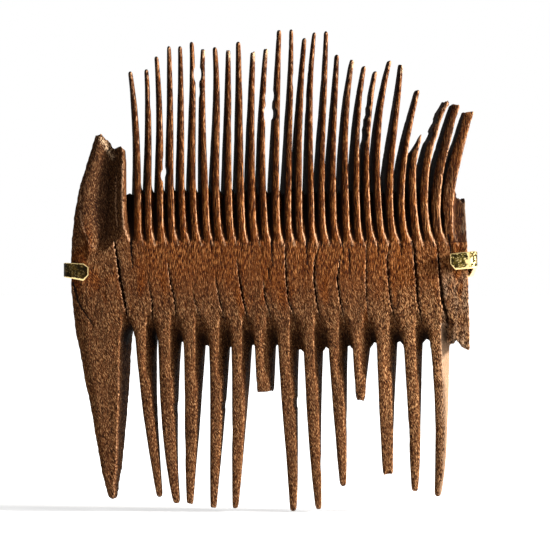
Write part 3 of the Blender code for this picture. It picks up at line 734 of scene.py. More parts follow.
def crack_side(number, z, side, depth_share):
    """One wall of a crack at mid thickness: side is 1 for the wall on its right."""
    width = crack_width(number, z)
    width = mix(CLOSED_WIDTH, width, clamp((np.abs(depth_share) - 0.40) / 0.45))
    wander = np.sin(z * 5200 + number * 1.7) + 0.6 * np.sin(z * 11700 + number * 4.1)
    rough = np.sin(z * 16300 + side * 2.0 + number) + np.sin(z * 9100 - side * 3.0 + 2.0 * number)
    pinch = 1.0 + 0.5 * np.sin(z * 7300 + 2.3 * number) * np.sin(z * 3100 + number)
    width = np.where(width > 0, width * pinch, width)
    return crack_x(number, z) + MM * (0.06 * wander + 0.085 * rough * (width > 0) + side * 0.5 * width)


def slot_floor(depth_share, power):
    """How far up a slot's floor has climbed at a depth, from nought at a face to one."""
    return 1.0 - np.abs(depth_share) ** power


print("crack 14 is", round(float(crack_width(14, SPINE_BOTTOM)), 2), "mm wide at its foot")

# %% [markdown]
# ## The shape of the front face
#
# The front face isn't flat. A hollow is scooped into the left guard, the plank falls away
# in a funnel above each coarse slot, and short shallow splits run up and down the grain.
# One function gives how far the face lies back at any place. Every block and tooth asks
# it, so the shape runs on unbroken from one piece to the next.

# %% Hollow and shelf of the left guard
# height z, left rim, deepest line and right rim, depth, in millimetres
HOLLOW = np.array((
    (3.0, -33.0, -32.2, -31.0, 0.0), (4.1, -33.5, -31.9, -29.6, 0.7), (6.1, -33.7, -31.3, -27.4, 1.7),
    (8.3, -34.5, -30.8, -27.0, 2.3), (11.7, -35.1, -30.3, -27.35, 2.7), (16.1, -34.6, -29.9, -27.5, 2.8),
    (20.4, -32.6, -29.5, -27.4, 2.6), (24.0, -31.6, -29.4, -27.3, 2.2), (26.0, -31.0, -29.3, -27.3, 2.0),
))


def hollow_depth(x, z):
    """How far the front face is scooped back at a place, in metres."""
    x, z = x / MM, z / MM
    left, middle, right, depth = (np.interp(z, HOLLOW[:, 0], HOLLOW[:, column]) for column in range(1, 5))
    from_left = clamp((x - left) / (middle - left))
    from_right = clamp((right - x) / (right - middle))
    gouges = 1.0 + 0.05 * np.sin(5.0 * x + 3.1 * z) + 0.04 * np.sin(8.3 * x - 1.7 * z)
    gouges = gouges + 0.03 * np.sin(2.2 * z + 13.0 * x)
    scoop = np.where(x < middle, from_left ** 1.9, 1.0 - (1.0 - from_right) ** 1.4)
    return np.where(z < HOLLOW[0, 0], 0.0, 0.85 * depth * MM * scoop * gouges)


def shelf_depth(x, z):
    """A shallow step on the left guard's edge, where a sliver has come away above the clip."""
    x, z = x / MM, z / MM
    line = 7.3 - 0.4 * (x + 35.8)
    return 0.00040 * ease((line - z) / 0.35) * ease((z - 1.0) / 3.0) * ease((-33.4 - x) / 0.5)


print("hollow is", round(1000 * float(hollow_depth(-0.0300, 0.0140)), 2), "mm deep at its middle")

# %% Splits and funnels
# points (x, z) along each shallow split and its depth, in millimetres
SPLITS = (
    (((-25.6, 5.6), (-25.5, 3.0), (-25.2, 0.4)), 0.7), (((-0.45, 0.3), (-0.3, -1.0), (-0.1, -2.1)), 0.4),
    (((0.2, 5.7), (0.25, 3.2), (0.4, 0.8)), 0.5), (((6.6, 5.5), (6.65, 3.0), (6.7, 1.0)), 0.5),
    (((14.4, 3.8), (14.5, 1.0), (14.4, -1.7)), 0.32), (((-36.2, -2.4), (-35.1, -6.2), (-32.4, -10.4)), 0.6),
    (((22.8, -7.0), (22.8, -7.15)), 0.5), (((-11.0, 5.4), (-10.8, 3.4)), 0.3),
    (((25.9, 5.2), (26.1, 2.9)), 0.3), (((32.6, 6.4), (33.0, 4.2), (33.2, 2.0)), 0.7),
    (((19.7, 4.9), (19.8, 2.2)), 0.35), (((23.9, 4.8), (24.0, 2.8)), 0.35),
    (((13.2, 5.0), (13.4, 3.0)), 0.3), (((3.1, 5.2), (3.2, 3.6)), 0.25), (((9.3, 5.2), (9.4, 3.4)), 0.3),
    (((-17.6, 5.2), (-17.5, 3.6)), 0.25), (((-5.4, 5.0), (-5.3, 3.0)), 0.25),
)
SPLIT_HALF_WIDTH = 0.22
FUNNEL_TOP = SPINE_BOTTOM + 0.0024
FUNNEL_HEIGHT = 0.0040


def distance_to(x, z, start, end):
    """How far a place lies from a straight leg, and how far along the leg, all in millimetres."""
    (x0, z0), (x1, z1) = start, end
    run = clamp(((x - x0) * (x1 - x0) + (z - z0) * (z1 - z0)) / ((x1 - x0) ** 2 + (z1 - z0) ** 2))
    return np.hypot(x - mix(x0, x1, run), z - mix(z0, z1, run)), run


def split_nearness(x, z, half_width):
    """Depth of the nearest split in millimetres, fading to nought at a half width."""
    x, z = x / MM + 0.05 * np.sin(z / MM * 4.3), z / MM
    found = np.zeros(np.broadcast(x, z).shape)
    for line, depth in SPLITS:
        for leg, (start, end) in enumerate(zip(line, line[1:])):
            away, run = distance_to(x, z, start, end)
            taper = 1.0 - 0.6 * (leg + run) / (len(line) - 1)
            found = np.maximum(found, depth * clamp(1.0 - away / (half_width * taper)))
    return found


def funnel_depth(x, z):
    """The fall of the front face towards each coarse slot."""
    found = np.zeros(np.broadcast(x, z).shape)
    for number in range(1, len(CRACKS) + 1):
        middle = crack_x(number, z)
        off = (x - middle - slant(middle, z) * 0.5 * SPINE_THICKNESS) / MM
        bow = clamp(1.0 - np.where(off < 0.0, (off / 1.15) ** 4, (off / 0.95) ** 2))
        top = FUNNEL_TOP - 0.0012 * ease((off + 0.7) / 1.4)
        found = np.maximum(found, 1.2 * bow * ease((top - z) / FUNNEL_HEIGHT))
    return found * ease((z - SPINE_BOTTOM + 0.012) / 0.004) * MM


def front_recess(x, z):
    carving = np.maximum(hollow_depth(x, z), funnel_depth(x, z)) + shelf_depth(x, z)
    return carving + split_nearness(x, z, SPLIT_HALF_WIDTH) * MM


def carved(x, y, z):
    """Points of a lattice or a tooth, with the front half eased back to the front face's shape."""
    x, y, z = np.broadcast_arrays(x, y, z)
    back = front_recess(x, z)
    return np.stack([x, y + back * clamp(-y / half_thickness(z)), z], -1)


print(len(SPLITS), "splits in the front face")

# %% [markdown]
# ## Blocks from lattices
#
# A stave could be modelled as a box and cut, but its walls wander, gape and climb all
# the way round. A lattice of points is simpler: each point is placed by asking the shared
# lines where the crack, the floor and the face are at its share across, up and through.

# %% Lattices
def lattice(grid):
    """Points and faces of a block from points in layers (back), rows (up) and columns (right)."""
    number = np.arange(grid[..., 0].size).reshape(grid.shape[:3])
    faces = []
    sheets = ((number[0], True), (number[-1], False), (number[:, 0], False), (number[:, -1], True),
              (number[:, :, 0], True), (number[:, :, -1], False))
    for sheet, outward in sheets:
        quads = np.stack([sheet[:-1, :-1], sheet[:-1, 1:], sheet[1:, 1:], sheet[1:, :-1]], -1)
        quads = quads.reshape(-1, 4)
        faces.extend(map(tuple, quads if outward else quads[:, ::-1]))
    return grid.reshape(-1, 3), faces


def steps(count, axis):
    """Even shares from nought to one along one axis of a lattice."""
    shape = [1, 1, 1]
    shape[axis] = count
    return np.linspace(0.0, 1.0, count).reshape(shape)


def shares(layers, rows, columns):
    """Shares through the plank, from -1 in front to 1 behind, and then up and across it."""
    return 2.0 * steps(layers, 0) - 1.0, steps(rows, 1), steps(columns, 2)


print("a lattice of 2 by 2 by 2 points has", len(lattice(np.zeros((2, 2, 2, 3)))[1]), "faces")

# %% Staves and the thin upright
def coarse_floor(left_slot, across, depth_share):
    """Height of the slot floors under a stave, arched up towards the slot on each side."""
    climb = mix(SLOT_CLIMBS[left_slot - 1], SLOT_CLIMBS[left_slot], ease(across)) * MM
    arch = 0.0016 * (1.0 - np.abs(2.0 * across - 1.0) ** 1.6)
    ragged = 0.00022 * np.sin(19.0 * across + 3.0 * left_slot)
    return SPINE_BOTTOM - climb * slot_floor(depth_share, COARSE_CLIMB_POWER) - arch - ragged


def stave_block(left_crack, right_crack):
    """The part of the spine between two cracks."""
    depth_share, up, across = shares(11, 120, 22)
    climb = FINE_CLIMB * slot_floor(depth_share, FINE_CLIMB_POWER) - FLOOR_DROP
    top = SPINE_TOP + climb + 0.0002 * np.sin(23.0 * across + left_crack)
    z = mix(coarse_floor(left_crack, across, depth_share), top, up)
    left = crack_side(left_crack, z, 1, depth_share)
    x = mix(left, crack_side(right_crack, z, -1, depth_share), across)
    y = 0.5 * SPINE_THICKNESS * depth_share
    return lattice(carved(x - slant(x, z) * y, y, z))


# height z and front right edge of the thin upright, in millimetres
UPRIGHT_EDGE = np.array((
    (4.0, -25.4), (5.5, -25.6), (7.9, -26.1), (11.7, -26.45), (16.0, -26.45), (20.0, -26.5), (22.7, -26.7),
))
UPRIGHT_HEIGHT = 0.0172


def upright_block():
    """The thin wall between the first crack and the first fine slot, hollowed on its front."""
    depth_share, share, across = shares(9, 90, 14)
    top = SPINE_TOP + UPRIGHT_HEIGHT
    z = mix(SPINE_TOP - SEAT, top, share)
    up = (z - z.min()) / (top - z.min())
    half = half_thickness(z) - 0.00003
    edge = np.interp(z / MM, UPRIGHT_EDGE[:, 0], UPRIGHT_EDGE[:, 1]) * MM
    x = mix(crack_side(1, z, 1, depth_share), edge - slant(edge, z) * half, across)
    spike = -0.0016 * (1.0 - ease(across / 0.55)) - 0.0030 * np.maximum(across - 0.72, 0.0)
    tip = z + (spike + 0.00012 * np.sin(21.0 * across)) * up ** 5
    worn_edge = 0.0005 * clamp((across - 0.78) / 0.22) ** 1.4 * clamp(-depth_share)
    y = half * depth_share
    return lattice(carved(x - slant(x, z) * y, y + worn_edge, tip))


print("stave 7 block has", len(stave_block(7, 8)[1]), "faces before fusing")

# %% [markdown]
# ## The two end guards
#
# The guards are the plank's own ends. The left one is a broad blade with a scooped
# hollow, where a thumb might rest. The right one has broken off short below and above,
# so its foot is a ragged line. Both are lattices too, with their measured edges in
# tables and each column of points ending where the wood has broken.

# %% Left guard
# height z, left edge, right edge at mid thickness, in millimetres
GUARD_EDGES = np.array((
    (-42.3, -29.3, -28.7), (-41.9, -29.9, -28.6), (-40.6, -30.3, -28.5), (-39.2, -30.6, -28.4),
    (-37.0, -31.2, -28.1), (-34.8, -31.5, -27.9), (-32.6, -31.9, -27.75), (-30.3, -32.3, -27.6),
    (-28.1, -32.65, -27.45), (-25.9, -33.0, -27.3), (-23.7, -33.4, -27.2), (-21.5, -33.95, -27.05),
    (-19.2, -34.4, -27.0), (-17.0, -34.7, -26.95), (-14.8, -35.1, -26.9), (-12.6, -35.6, -26.85),
    (-10.4, -36.0, -26.85), (-8.1, -36.2, -26.85), (-5.9, -36.45, -26.85), (-3.7, -36.65, -26.85),
    (-0.7, -36.70, -26.85), (3.0, -36.70, -26.85), (5.2, -36.6, -26.85), (7.4, -36.35, -26.85),
    (9.6, -36.15, -26.85), (11.8, -35.8, -26.85), (14.1, -35.4, -26.85), (16.3, -34.9, -26.85),
    (18.5, -34.15, -26.85), (20.7, -33.55, -26.85), (22.9, -32.85, -26.85), (24.9, -32.2, -26.85),
))
GUARD_FOOT = -0.0423
GUARD_TOP = 0.0249
# the height where the torn slope of its top begins
GUARD_TORN_FROM = 0.0160


def guard_edges(z):
    left, right = (np.interp(z / MM, GUARD_EDGES[:, 0], GUARD_EDGES[:, column]) * MM for column in (1, 2))
    wobble = 0.00005 * np.sin(z * 900) * np.sin(z * 2300 + 1.0) + 0.00002 * np.sin(z * 5100)
    return left + wobble, right + wobble


def guard_right(z, depth_share):
    """The guard's right wall: the crack beside the spine, the slot's wall below it."""
    floor = SPINE_BOTTOM - SLOT_CLIMBS[0] * MM * slot_floor(depth_share, COARSE_CLIMB_POWER)
    turned = np.exp(np.minimum(z - floor, 0.0) / TURN_LENGTH)
    beside_slot = mix(guard_edges(z)[1], crack_side(1, floor, -1, depth_share), turned)
    return np.where(z >= floor, crack_side(1, z, -1, depth_share), beside_slot)


def rounding(share):
    """Nought to one, steep at first and level at the end, as a rounded edge rises."""
    return share * (2.0 - share)


def left_guard_block():
    depth_share, up, across = shares(13, 330, 52)
    z = mix(GUARD_FOOT, GUARD_TOP, up)
    x = mix(guard_edges(z)[0], guard_right(z, depth_share), across)
    half = half_thickness(z) * mix(0.85, 1.0, rounding(clamp(across / 0.30)))
    half = half * mix(0.80, 1.0, rounding(clamp(across / 0.05)))
    half = half * mix(0.55, 1.0, rounding(clamp((z - GUARD_FOOT) / 0.0020)))
    y = half * depth_share
    torn = clamp((z - GUARD_TORN_FROM) / (GUARD_TOP - GUARD_TORN_FROM)) ** 2
    slope = 0.0044 * np.maximum(across - 0.25, 0.0) ** 1.3
    drop = torn * (slope + 0.00016 * np.sin(17.0 * across) + 0.00010 * np.sin(41.0 * across))
    return lattice(carved(x - slant(x, z) * across * y, y, z - drop))


print("left guard has", len(left_guard_block()[1]), "faces before fusing")

# %% Right guard
# place across it in millimetres, and how low its broken foot reaches there
RIGHT_FOOT = np.array((
    (32.2, -15.6), (32.5, -15.2), (32.8, -14.1), (33.2, -13.3), (33.7, -13.1), (34.2, -12.6), (34.7, -12.4),
    (35.0, -13.3), (35.4, -13.9), (35.8, -14.0), (36.2, -14.3), (36.6, -14.5), (36.9, -14.0),
))
RIGHT_EDGE_SHARES = (0.11, 0.17, 0.22, 0.26)
REMNANT_FRONT = -0.0009
REMNANT_BACK = 0.0023
REMNANT_HEIGHT = 0.0075
REMNANT_GAP = 0.00035


def right_edge(z):
    return RIGHT_END - table_at(RIGHT_EDGE_SHARES, up_spine(z)) * RIGHT_GUARD_WIDTH


def right_guard_block():
    depth_share, up, across = shares(11, 110, 28)
    foot_x = mix(crack_side(14, SPINE_BOTTOM - 0.003, 1, depth_share), RIGHT_END - 0.0002, across)
    foot = np.interp(foot_x / MM, RIGHT_FOOT[:, 0], RIGHT_FOOT[:, 1]) * MM
    foot = foot + 0.0003 * np.sin(4.0 * depth_share + 9.0 * across)
    climb = FINE_CLIMB * slot_floor(depth_share, FINE_CLIMB_POWER)
    climb = climb * mix(1.0, 0.7, clamp((across - 0.5) / 0.2))
    z = mix(foot, SPINE_TOP - FLOOR_DROP + climb, up)
    outer = right_edge(z) + 0.00008 * np.sin(z * 1300) * np.sin(z * 3900)
    x = mix(crack_side(14, z, 1, depth_share), outer, across)
    y = 0.5 * SPINE_THICKNESS * depth_share
    return lattice(carved(x - slant(x, z) * (1.0 - across) * y, y, z))


def remnant_block():
    """What is left of the right guard above the spine, set back from the front face."""
    _, up, across = shares(8, 36, 12)
    y = mix(REMNANT_FRONT, REMNANT_BACK, steps(8, 0))
    z = mix(SPINE_TOP - SEAT, SPINE_TOP + REMNANT_HEIGHT, up)
    left = slot_x(fine_x, FINE_COUNT, FINE_PITCH, FINE_COUNT, z) + REMNANT_GAP
    x = mix(left, right_edge(SPINE_TOP) - 0.0001, across)
    torn = 0.0005 * np.sin(7.0 * across + 900 * y) * up ** 4
    x = x - slant(x, z) * (1.0 - across) * y
    return lattice(np.stack(np.broadcast_arrays(x, y, z - 0.0002 + torn), -1))


print("right guard has", len(right_guard_block()[1]), "faces before fusing")

# %% [markdown]
# ## Fusing and weathering
#
# A block and its teeth overlap, and the wood of a stave is one piece. A voxel remesh
# fuses them into one skin of small even faces, which also rounds every edge a little, as
# years of handling do. An exact union would keep every corner sharp and leave long thin
# faces, which can't be weathered.
#
# The second Geometry Nodes tree then weathers the skin. Soft early wood wears away
# between the hard fibres, so the surface moves in along its normal by noise that is
# stretched along the grain, with small pits near the coarse teeth. The noise is read
# from the place in the comb, so it runs on across a closed crack. The tree also stores
# a measure that the finish will use: `relief_and_highlight`, how far a point stands proud
# of the skin around it. The marks below add a painted highlight to it along the edges
# that face the key lamp.

# %% The weathering tree
def weather_tree():
    tree, given, out = new_tree("Weathered wood skin", "GeometryNodeTree", {
        "Geometry": "Geometry", "Fibre Depth": 0.00005, "Wave Depth": 0.00008, "Pit Depth": 0.00008,
        "Pit Top": 0.0, "Seed": 3.0, "Finish": "Material"}, {"Geometry": "Geometry"})
    here = position(tree)
    outward = normal(tree)
    seed = along_all(tree, given["Seed"])
    fibre = noise(tree, stretched(tree, here, (1500.0, 1500.0, 190.0), seed))
    wave = noise(tree, stretched(tree, here, (420.0, 420.0, 90.0), seed))
    pit = noise(tree, stretched(tree, here, (1400.0, 1400.0, 1000.0), seed), 1.0)
    low = 1.0 - axes_of(tree, here)[2].share(given["Pit Top"] - 0.009, given["Pit Top"])
    inwards = (fibre - 0.55) * given["Fibre Depth"] * 2.0 + (wave - 0.5) * given["Wave Depth"] * 2.0
    inwards = inwards - (1.0 - pit.share(0.28, 0.42)) * given["Pit Depth"] * (0.5 + 0.5 * low)
    moved = push_along(tree, given["Geometry"], outward, inwards)

    around = add_node(tree, "GeometryNodeBlurAttribute",
                      {"Value": here, "Iterations": 6}, data_type="FLOAT_VECTOR")
    proud = add_node(tree, "ShaderNodeVectorMath", {0: here, 1: around.outputs[0]}, operation="SUBTRACT")
    standing = add_node(tree, "ShaderNodeVectorMath",
                        {0: proud.outputs[0], 1: outward}, operation="DOT_PRODUCT")
    # how far a point stands proud of the skin around it; the marks later add a painted highlight to this
    # measure
    relief_and_highlight = Wire(tree, standing.outputs["Value"]) * 10000.0
    end_tree(tree, store_attribute(tree, moved, "relief_and_highlight", relief_and_highlight), given["Finish"], out)
    return tree


WEATHER_TREE = weather_tree()
print("weathering tree:", len(WEATHER_TREE.nodes), "nodes")

# %% Fusing a piece and weathering it
VOXEL = 0.000184


def joined_mesh(name, parts):
    """One mesh from several (points, faces)."""
    points, faces, start = [], [], 0
    for part_points, part_faces in parts:
        points.append(part_points)
        faces.extend(tuple(i + start for i in face) for face in part_faces)
        start += len(part_points)
    mesh = bpy.data.meshes.new(name)
    mesh.from_pydata(np.concatenate(points), [], faces)
    return mesh


def place_skin(name, node, skin):
    """Puts a finished skin in the scene, in a node's place."""
    skin.shade_smooth()
    made = place_object(name, skin)
    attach(made, "root")
    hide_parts(node)
    return made


def wooden_piece(name, node, parts, finish, **wear):
    """Fuses overlapping parts into one skin, weathers it and puts it in a node's place."""
    rough = place_object(name + "_rough", joined_mesh(name, parts))
    fuse = rough.modifiers.new("fuse", "REMESH")
    fuse.mode = "VOXEL"
    fuse.voxel_size = VOXEL
    fuse.use_smooth_shade = True
    skin = bake(name, evaluated_mesh(rough), WEATHER_TREE, {"Finish": finish, **wear})
    made = place_skin(name, node, skin)
    return made


print("voxels of", 1000 * VOXEL, "mm")

# %% [markdown]
# ## The finish of old wood
#
# Dry old wood shows its fibres: short pale threads with dark furrows between them. At
# the top of the spine they run straight up, and lower down they break into a greyer
# mottle. We build the fibre pattern once as a shader group and place it twice: short
# mottled fibres for the spine and the guards, and longer threads for the teeth. All of
# it reads Object coordinates, which here are the comb's own metres.

# %% Fibre group
def fibre_group():
    tree, given, out = new_tree("Wood fibres", "ShaderNodeTree", {
        "Place": "Vector", "Fibre Width": 0.00026, "Fibre Length": 0.0024, "Mottle": 0.0, "Seed": 1.0},
        {"Fibre": "Float", "Tone": "Float", "Height": "Float"})
    across = given["Fibre Width"] ** -1.0
    along = given["Fibre Length"] ** -1.0
    x, y, z = axes_of(tree, given["Place"])
    wander = noise(tree, stretched(tree, given["Place"], (260.0, 260.0, 260.0)), 1.0)
    bent = x + (wander - 0.5) * 0.0007
    curled = x + (wander - 0.5) * 0.0022 + z * 0.2
    long_place = place_of(tree, bent * across, y * across * 0.2, z * along + given["Seed"])
    grain_place = place_of(tree, curled * across, y * across * 0.3, z * across * 0.27 + given["Seed"])
    long_fibre = noise(tree, long_place, 2.0, 0.55)
    grain = noise(tree, grain_place, 2.0, 0.55)
    fibre = mix(long_fibre, grain, given["Mottle"])
    tone = noise(tree, stretched(tree, given["Place"], (320.0, 320.0, 110.0)), 2.0, 0.6)
    put_out(tree, out, {"Fibre": fibre, "Tone": tone, "Height": fibre.share(0.34, 0.66)})
    return tree


FIBRE_GROUP = fibre_group()
print("fibre group:", len(FIBRE_GROUP.nodes), "nodes")

# %% What every material needs
def new_material(name):
    """A material as (material, its tree, its shader, the place in Object coordinates)."""
    material = bpy.data.materials.new(name)
    material.use_nodes = True
    tree = material.node_tree
    place = tree.nodes.new("ShaderNodeTexCoord").outputs["Object"]
    return material, tree, tree.nodes["Principled BSDF"], place


def place_group(tree, group, inputs):
    """Places a group in a material and gives its outputs by name, as wires."""
    node = add_node(tree, "ShaderNodeGroup", inputs, node_tree=group)
    return {socket.name: Wire(tree, socket) for socket in node.outputs}


def mark(tree, name):
    """What the mesh stores under a name at each point, as a wire."""
    return Wire(tree, add_node(tree, "ShaderNodeAttribute", attribute_name=name).outputs["Fac"])


def colour_ramp(tree, factor, stops):
    node = tree.nodes.new("ShaderNodeValToRGB")
    plug(tree, factor, node.inputs[0])
    ramp = node.color_ramp
    while len(ramp.elements) < len(stops):
        ramp.elements.new(0.5)
    for element, (place, colour) in zip(ramp.elements, stops):
        element.position = place
        element.color = (*colour, 1.0)
    return node.outputs[0]


def mix_colour(tree, share, first, second, blend="MIX"):
    node = add_node(tree, "ShaderNodeMix", {0: share, 6: first, 7: second},
                    data_type="RGBA", blend_type=blend)
    return node.outputs[2]


def add_bump(tree, shader, height, distance):
    bump = add_node(tree, "ShaderNodeBump", {"Height": height, "Distance": distance, "Strength": 1.0})
    plug(tree, bump.outputs[0], shader.inputs["Normal"])


print("material helpers ready")

# %% Wood material
BROWN_FIBRES = ((0.38, (0.009, 0.0020, 0.0004)), (0.46, (0.070, 0.0150, 0.0012)),
                (0.55, (0.146, 0.0350, 0.0032)), (0.66, (0.42, 0.160, 0.038)))
GREY_FIBRES = ((0.38, (0.009, 0.0030, 0.0009)), (0.46, (0.058, 0.0187, 0.0047)),
               (0.55, (0.122, 0.0445, 0.0137)), (0.66, (0.38, 0.205, 0.088)))
DUST = (0.40, 0.26, 0.16, 1.0)
# pale colour of rubbed edges, and the painted highlight along the edges that face the key lamp
RUBBED_AND_LIT_WOOD = (0.46, 0.255, 0.140, 1.0)
TORN_WOOD = (0.60, 0.41, 0.25, 1.0)
# painted highlight for the one coarse flank that stands in the key lamp's light
LIT_FLANK = (0.24, 0.150, 0.092, 1.0)
# painted shade in the creases, where the skin lies lower than the skin around it
PAINTED_CREASE_SHADE = (0.016, 0.006, 0.003, 1.0)
# painted shade deep in the slots and on the flanks that face away from the key lamp
PAINTED_SLOT_SHADE = (0.009, 0.0035, 0.002, 1.0)
# painted shade inside the shallow splits
PAINTED_SPLIT_SHADE = (0.006, 0.003, 0.002, 1.0)


def wood_material():
    material, tree, shader, place = new_material("Weathered brown wood")
    x, _, z = axes_of(tree, place)
    # the marks: relief with painted highlights, painted shade, splits, and torn wood with the painted flank
    # highlight
    relief_and_highlight, deep, split, torn = (mark(tree, name) for name in ("relief_and_highlight", "deep", "split", "torn"))
    # where the wood is warm, where the fine teeth and the left blade are, and the foot of the comb
    warm = z.share(-0.008, 0.002) * x.share(-0.0275, -0.021) * (1.0 - x.share(0.020, 0.034) * 0.6)
    warm = warm.above(z.share(0.0060, 0.0070) * x.share(0.0333, 0.0338))
    in_teeth = z.share(SPINE_TOP - 0.0010, SPINE_TOP + 0.0015) * x.share(-0.0272, -0.0262)
    blade = (1.0 - x.share(-0.0285, -0.0270)) * z.share(0.002, 0.010)
    low = 1.0 - z.share(-0.014, 0.000)

    short = place_group(tree, FIBRE_GROUP, {
        "Place": place, "Mottle": 0.9 - warm * 0.75, "Fibre Width": 0.00013, "Fibre Length": 0.0010})
    threads = place_group(tree, FIBRE_GROUP, {
        "Place": place, "Mottle": 0.35, "Fibre Width": 0.00014, "Fibre Length": 0.0022})
    tone = short["Tone"]
    contrast = warm * 0.30 + x.share(0.016, 0.026) * 0.26 + 0.84
    fibre = (mix(short["Fibre"], threads["Fibre"], in_teeth) - 0.5) * contrast + 0.5
    threaded = (fibre * 0.45 + short["Fibre"] * 0.55).share(0.40, 0.58)

    greyed = (1.0 - warm * 0.8) * (tone + low * 0.22 + blade * 0.12).share(0.36, 0.56)
    brown = colour_ramp(tree, fibre, BROWN_FIBRES)
    base = mix_colour(tree, greyed, brown, colour_ramp(tree, fibre, GREY_FIBRES))
    dusty = x.share(0.0305, 0.0325) * (1.0 - z.share(-0.004, 0.001))
    dusty = dusty * tone.share(0.38, 0.58) * fibre.share(0.43, 0.56)
    base = mix_colour(tree, dusty * 0.85, base, DUST)
    shade = (tone.share(0.30, 0.70) * 0.17 + 0.69) * (1.0 - z.share(0.006, 0.020) * 0.20)
    shade = shade * (1.0 - blade * 0.26) * (1.0 + x.share(0.012, 0.024) * 0.17) * (1.0 + low * 0.10)
    shade = shade * (1.0 - x.share(0.0290, 0.0305) * z.share(0.0115, 0.016) * 0.30)
    base = mix_colour(tree, 1.0, base, along_all(tree, shade), "MULTIPLY")

    rubbed_and_lit = (relief_and_highlight.share(0.3, 1.3) * 1.4 + threaded * 1.1 - 1.05).within_one()
    for share, colour in (
            # pale rubbed wear on proud edges, with a painted highlight on the edges that face the key lamp
            (rubbed_and_lit * (z.share(-0.004, 0.006) * 0.25 + 0.55), RUBBED_AND_LIT_WOOD),
            ((torn * 2.2 + threaded - 1.1).within_one(), TORN_WOOD),
            # painted highlight on the flank that stands in the lamp's light
            ((torn * -1.0).share(0.2, 0.8) * (threaded * 0.4 + 0.6), LIT_FLANK),
            # painted shade in the creases
            ((relief_and_highlight * -1.0).share(0.1, 1.0) * 0.7, PAINTED_CREASE_SHADE),
            # painted shade in the slots and on the flanks that face away from the lamp
            (deep.share(0.03, 0.35) * 0.96, PAINTED_SLOT_SHADE),
            # painted shade in the splits
            (split.share(0.1, 0.6), PAINTED_SPLIT_SHADE)):
        base = mix_colour(tree, share, base, colour)
    plug(tree, base, shader.inputs["Base Color"])
    add_bump(tree, shader, mix(short["Height"], threads["Height"], in_teeth), 0.00008)
    shader.inputs["Roughness"].default_value = 0.85
    shader.inputs["Specular IOR Level"].default_value = 0.06
    return material


WOOD = wood_material()
print("wood material:", len(WOOD.node_tree.nodes), "nodes")

# %% [markdown]
# ## Marks on the wood
#
# The finish can't tell from a place alone whether a point is a lit edge, the floor of a
# slot or a torn end, so we work that out here and store it on each point of the skin.
# `relief_and_highlight` is raised as a painted highlight along the edges that face the
# key lamp. `deep` is painted shade: how dark a point is painted, from nought on a face to
# one far back in a slot, more on the flanks that face away from the lamp, and in the
# shadow of the left guard's hollow. `split` is one on a split, which is painted dark as
# shade, and `torn` is high where the wood has torn. One flank stands in the lamp's light
# and isn't dark like the others: it is marked with a `torn` of minus one and painted paler
# as a highlight.

# %% Lines of painted highlight and torn wood
TORN_TIPS = (7, 9, 11, 12, 19, 23)
# how strongly each fine tooth's painted edge highlight runs out on the spine, left to right
CLAWS = (
    0.3, 0.9, 0.5, 0.6, 0.3, 0.7, 0.5, 0.6, 0.5, 0.4, 0.6, 0.5, 0.8, 1.2, 1.2, 1.1, 0.7, 0.6, 0.9, 0.6, 0.8,
    0.9, 0.6, 0.7, 0.9, 0.9, 0.8, 0.4,
)


def claw_line(number):
    """The painted highlight where a fine tooth's lit edge runs out on the spine, in millimetres."""
    points = []
    for rise, inset in ((1.0, 0.20), (0.0, 0.25), (-1.0, 0.35)):
        z = SPINE_TOP + rise * MM
        edge = fine_x(number, z) + slant(fine_x(number, z), z) * half_thickness(z)
        flare = 0.85 * math.exp(-max(rise + 0.7, 0.0))
        points.append((edge / MM + 0.69 + flare - inset, z / MM))
    return points


# lines of painted highlight on lit edges (x, z) in millimetres, each with its strength: the
# hollow's right rim, its left rim, the slope of the thin upright, and then the claws
LIT_EDGES = ((((-27.2, 19.4), (-27.3, 13.1), (-27.0, 8.2), (-25.9, 5.4)), 0.95),
             (((-35.0, 16.3), (-34.9, 9.6), (-33.6, 5.5), (-32.9, 4.4), (-31.8, 4.2)), 0.65),
             (((-28.5, 17.0), (-28.5, 12.0), (-28.2, 8.0)), 0.75),
             *((claw_line(number), 0.55 + 0.35 * claw) for number, claw in enumerate(CLAWS, 1)))
LIT_HALF_WIDTH = 0.52
TORN_EDGES = (((-31.0, 24.0), (-30.2, 22.7), (-29.1, 20.8)), ((35.9, 12.4), (36.0, 9.6), (35.4, 7.0)))
TORN_HALF_WIDTH = 0.90
TORN_STRENGTH = 0.42


def along_line(x, z, line, half_width):
    """One on a line given in millimetres, fading to nought at a half width."""
    x, z = x / MM, z / MM
    near = np.zeros(x.shape)
    for start, end in zip(line, line[1:]):
        near = np.maximum(near, 1.0 - distance_to(x, z, start, end)[0] / half_width)
    return clamp(near)


# the lit lines are painted highlights
print(len(LIT_EDGES), "worn lines and", len(TORN_EDGES) + len(TORN_TIPS), "torn places")

# %% Painted edge highlights and painted slot shade
def worn_ridge(x, y, z, facing_right, depth, broken_off):
    """Painted highlight on the edges that face the key lamp: the right front edge of every fine tooth, and
    the lit lines.
    """
    ridge = clamp((facing_right - 0.28) / 0.2) * (y < 0) * (depth < 0.075) * clamp((z - SPINE_TOP + MM) / MM)
    faded = 0.55 * ease((z - SPINE_TOP - 5.0 * MM) / (12.0 * MM)) * ~broken_off
    ridge = ridge * (x > ROW_START + 0.6 * MM) * (1.0 - faded)
    ridge = ridge * mix(0.72, 1.1, clamp((x - ROW_START) / ROW_WIDTH))
    for line, strength in LIT_EDGES:
        ridge = np.maximum(ridge, strength * along_line(x, z, line, LIT_HALF_WIDTH) * (y < 0))
    return ridge


def slot_depth(x, y, z):
    """How far back a point lies, from nought on a face to one at mid thickness."""
    front = half_thickness(z) - front_recess(x, z)
    return clamp(1.0 - np.where(y < 0, -y / np.maximum(front, 0.2 * MM), y / half_thickness(z)))


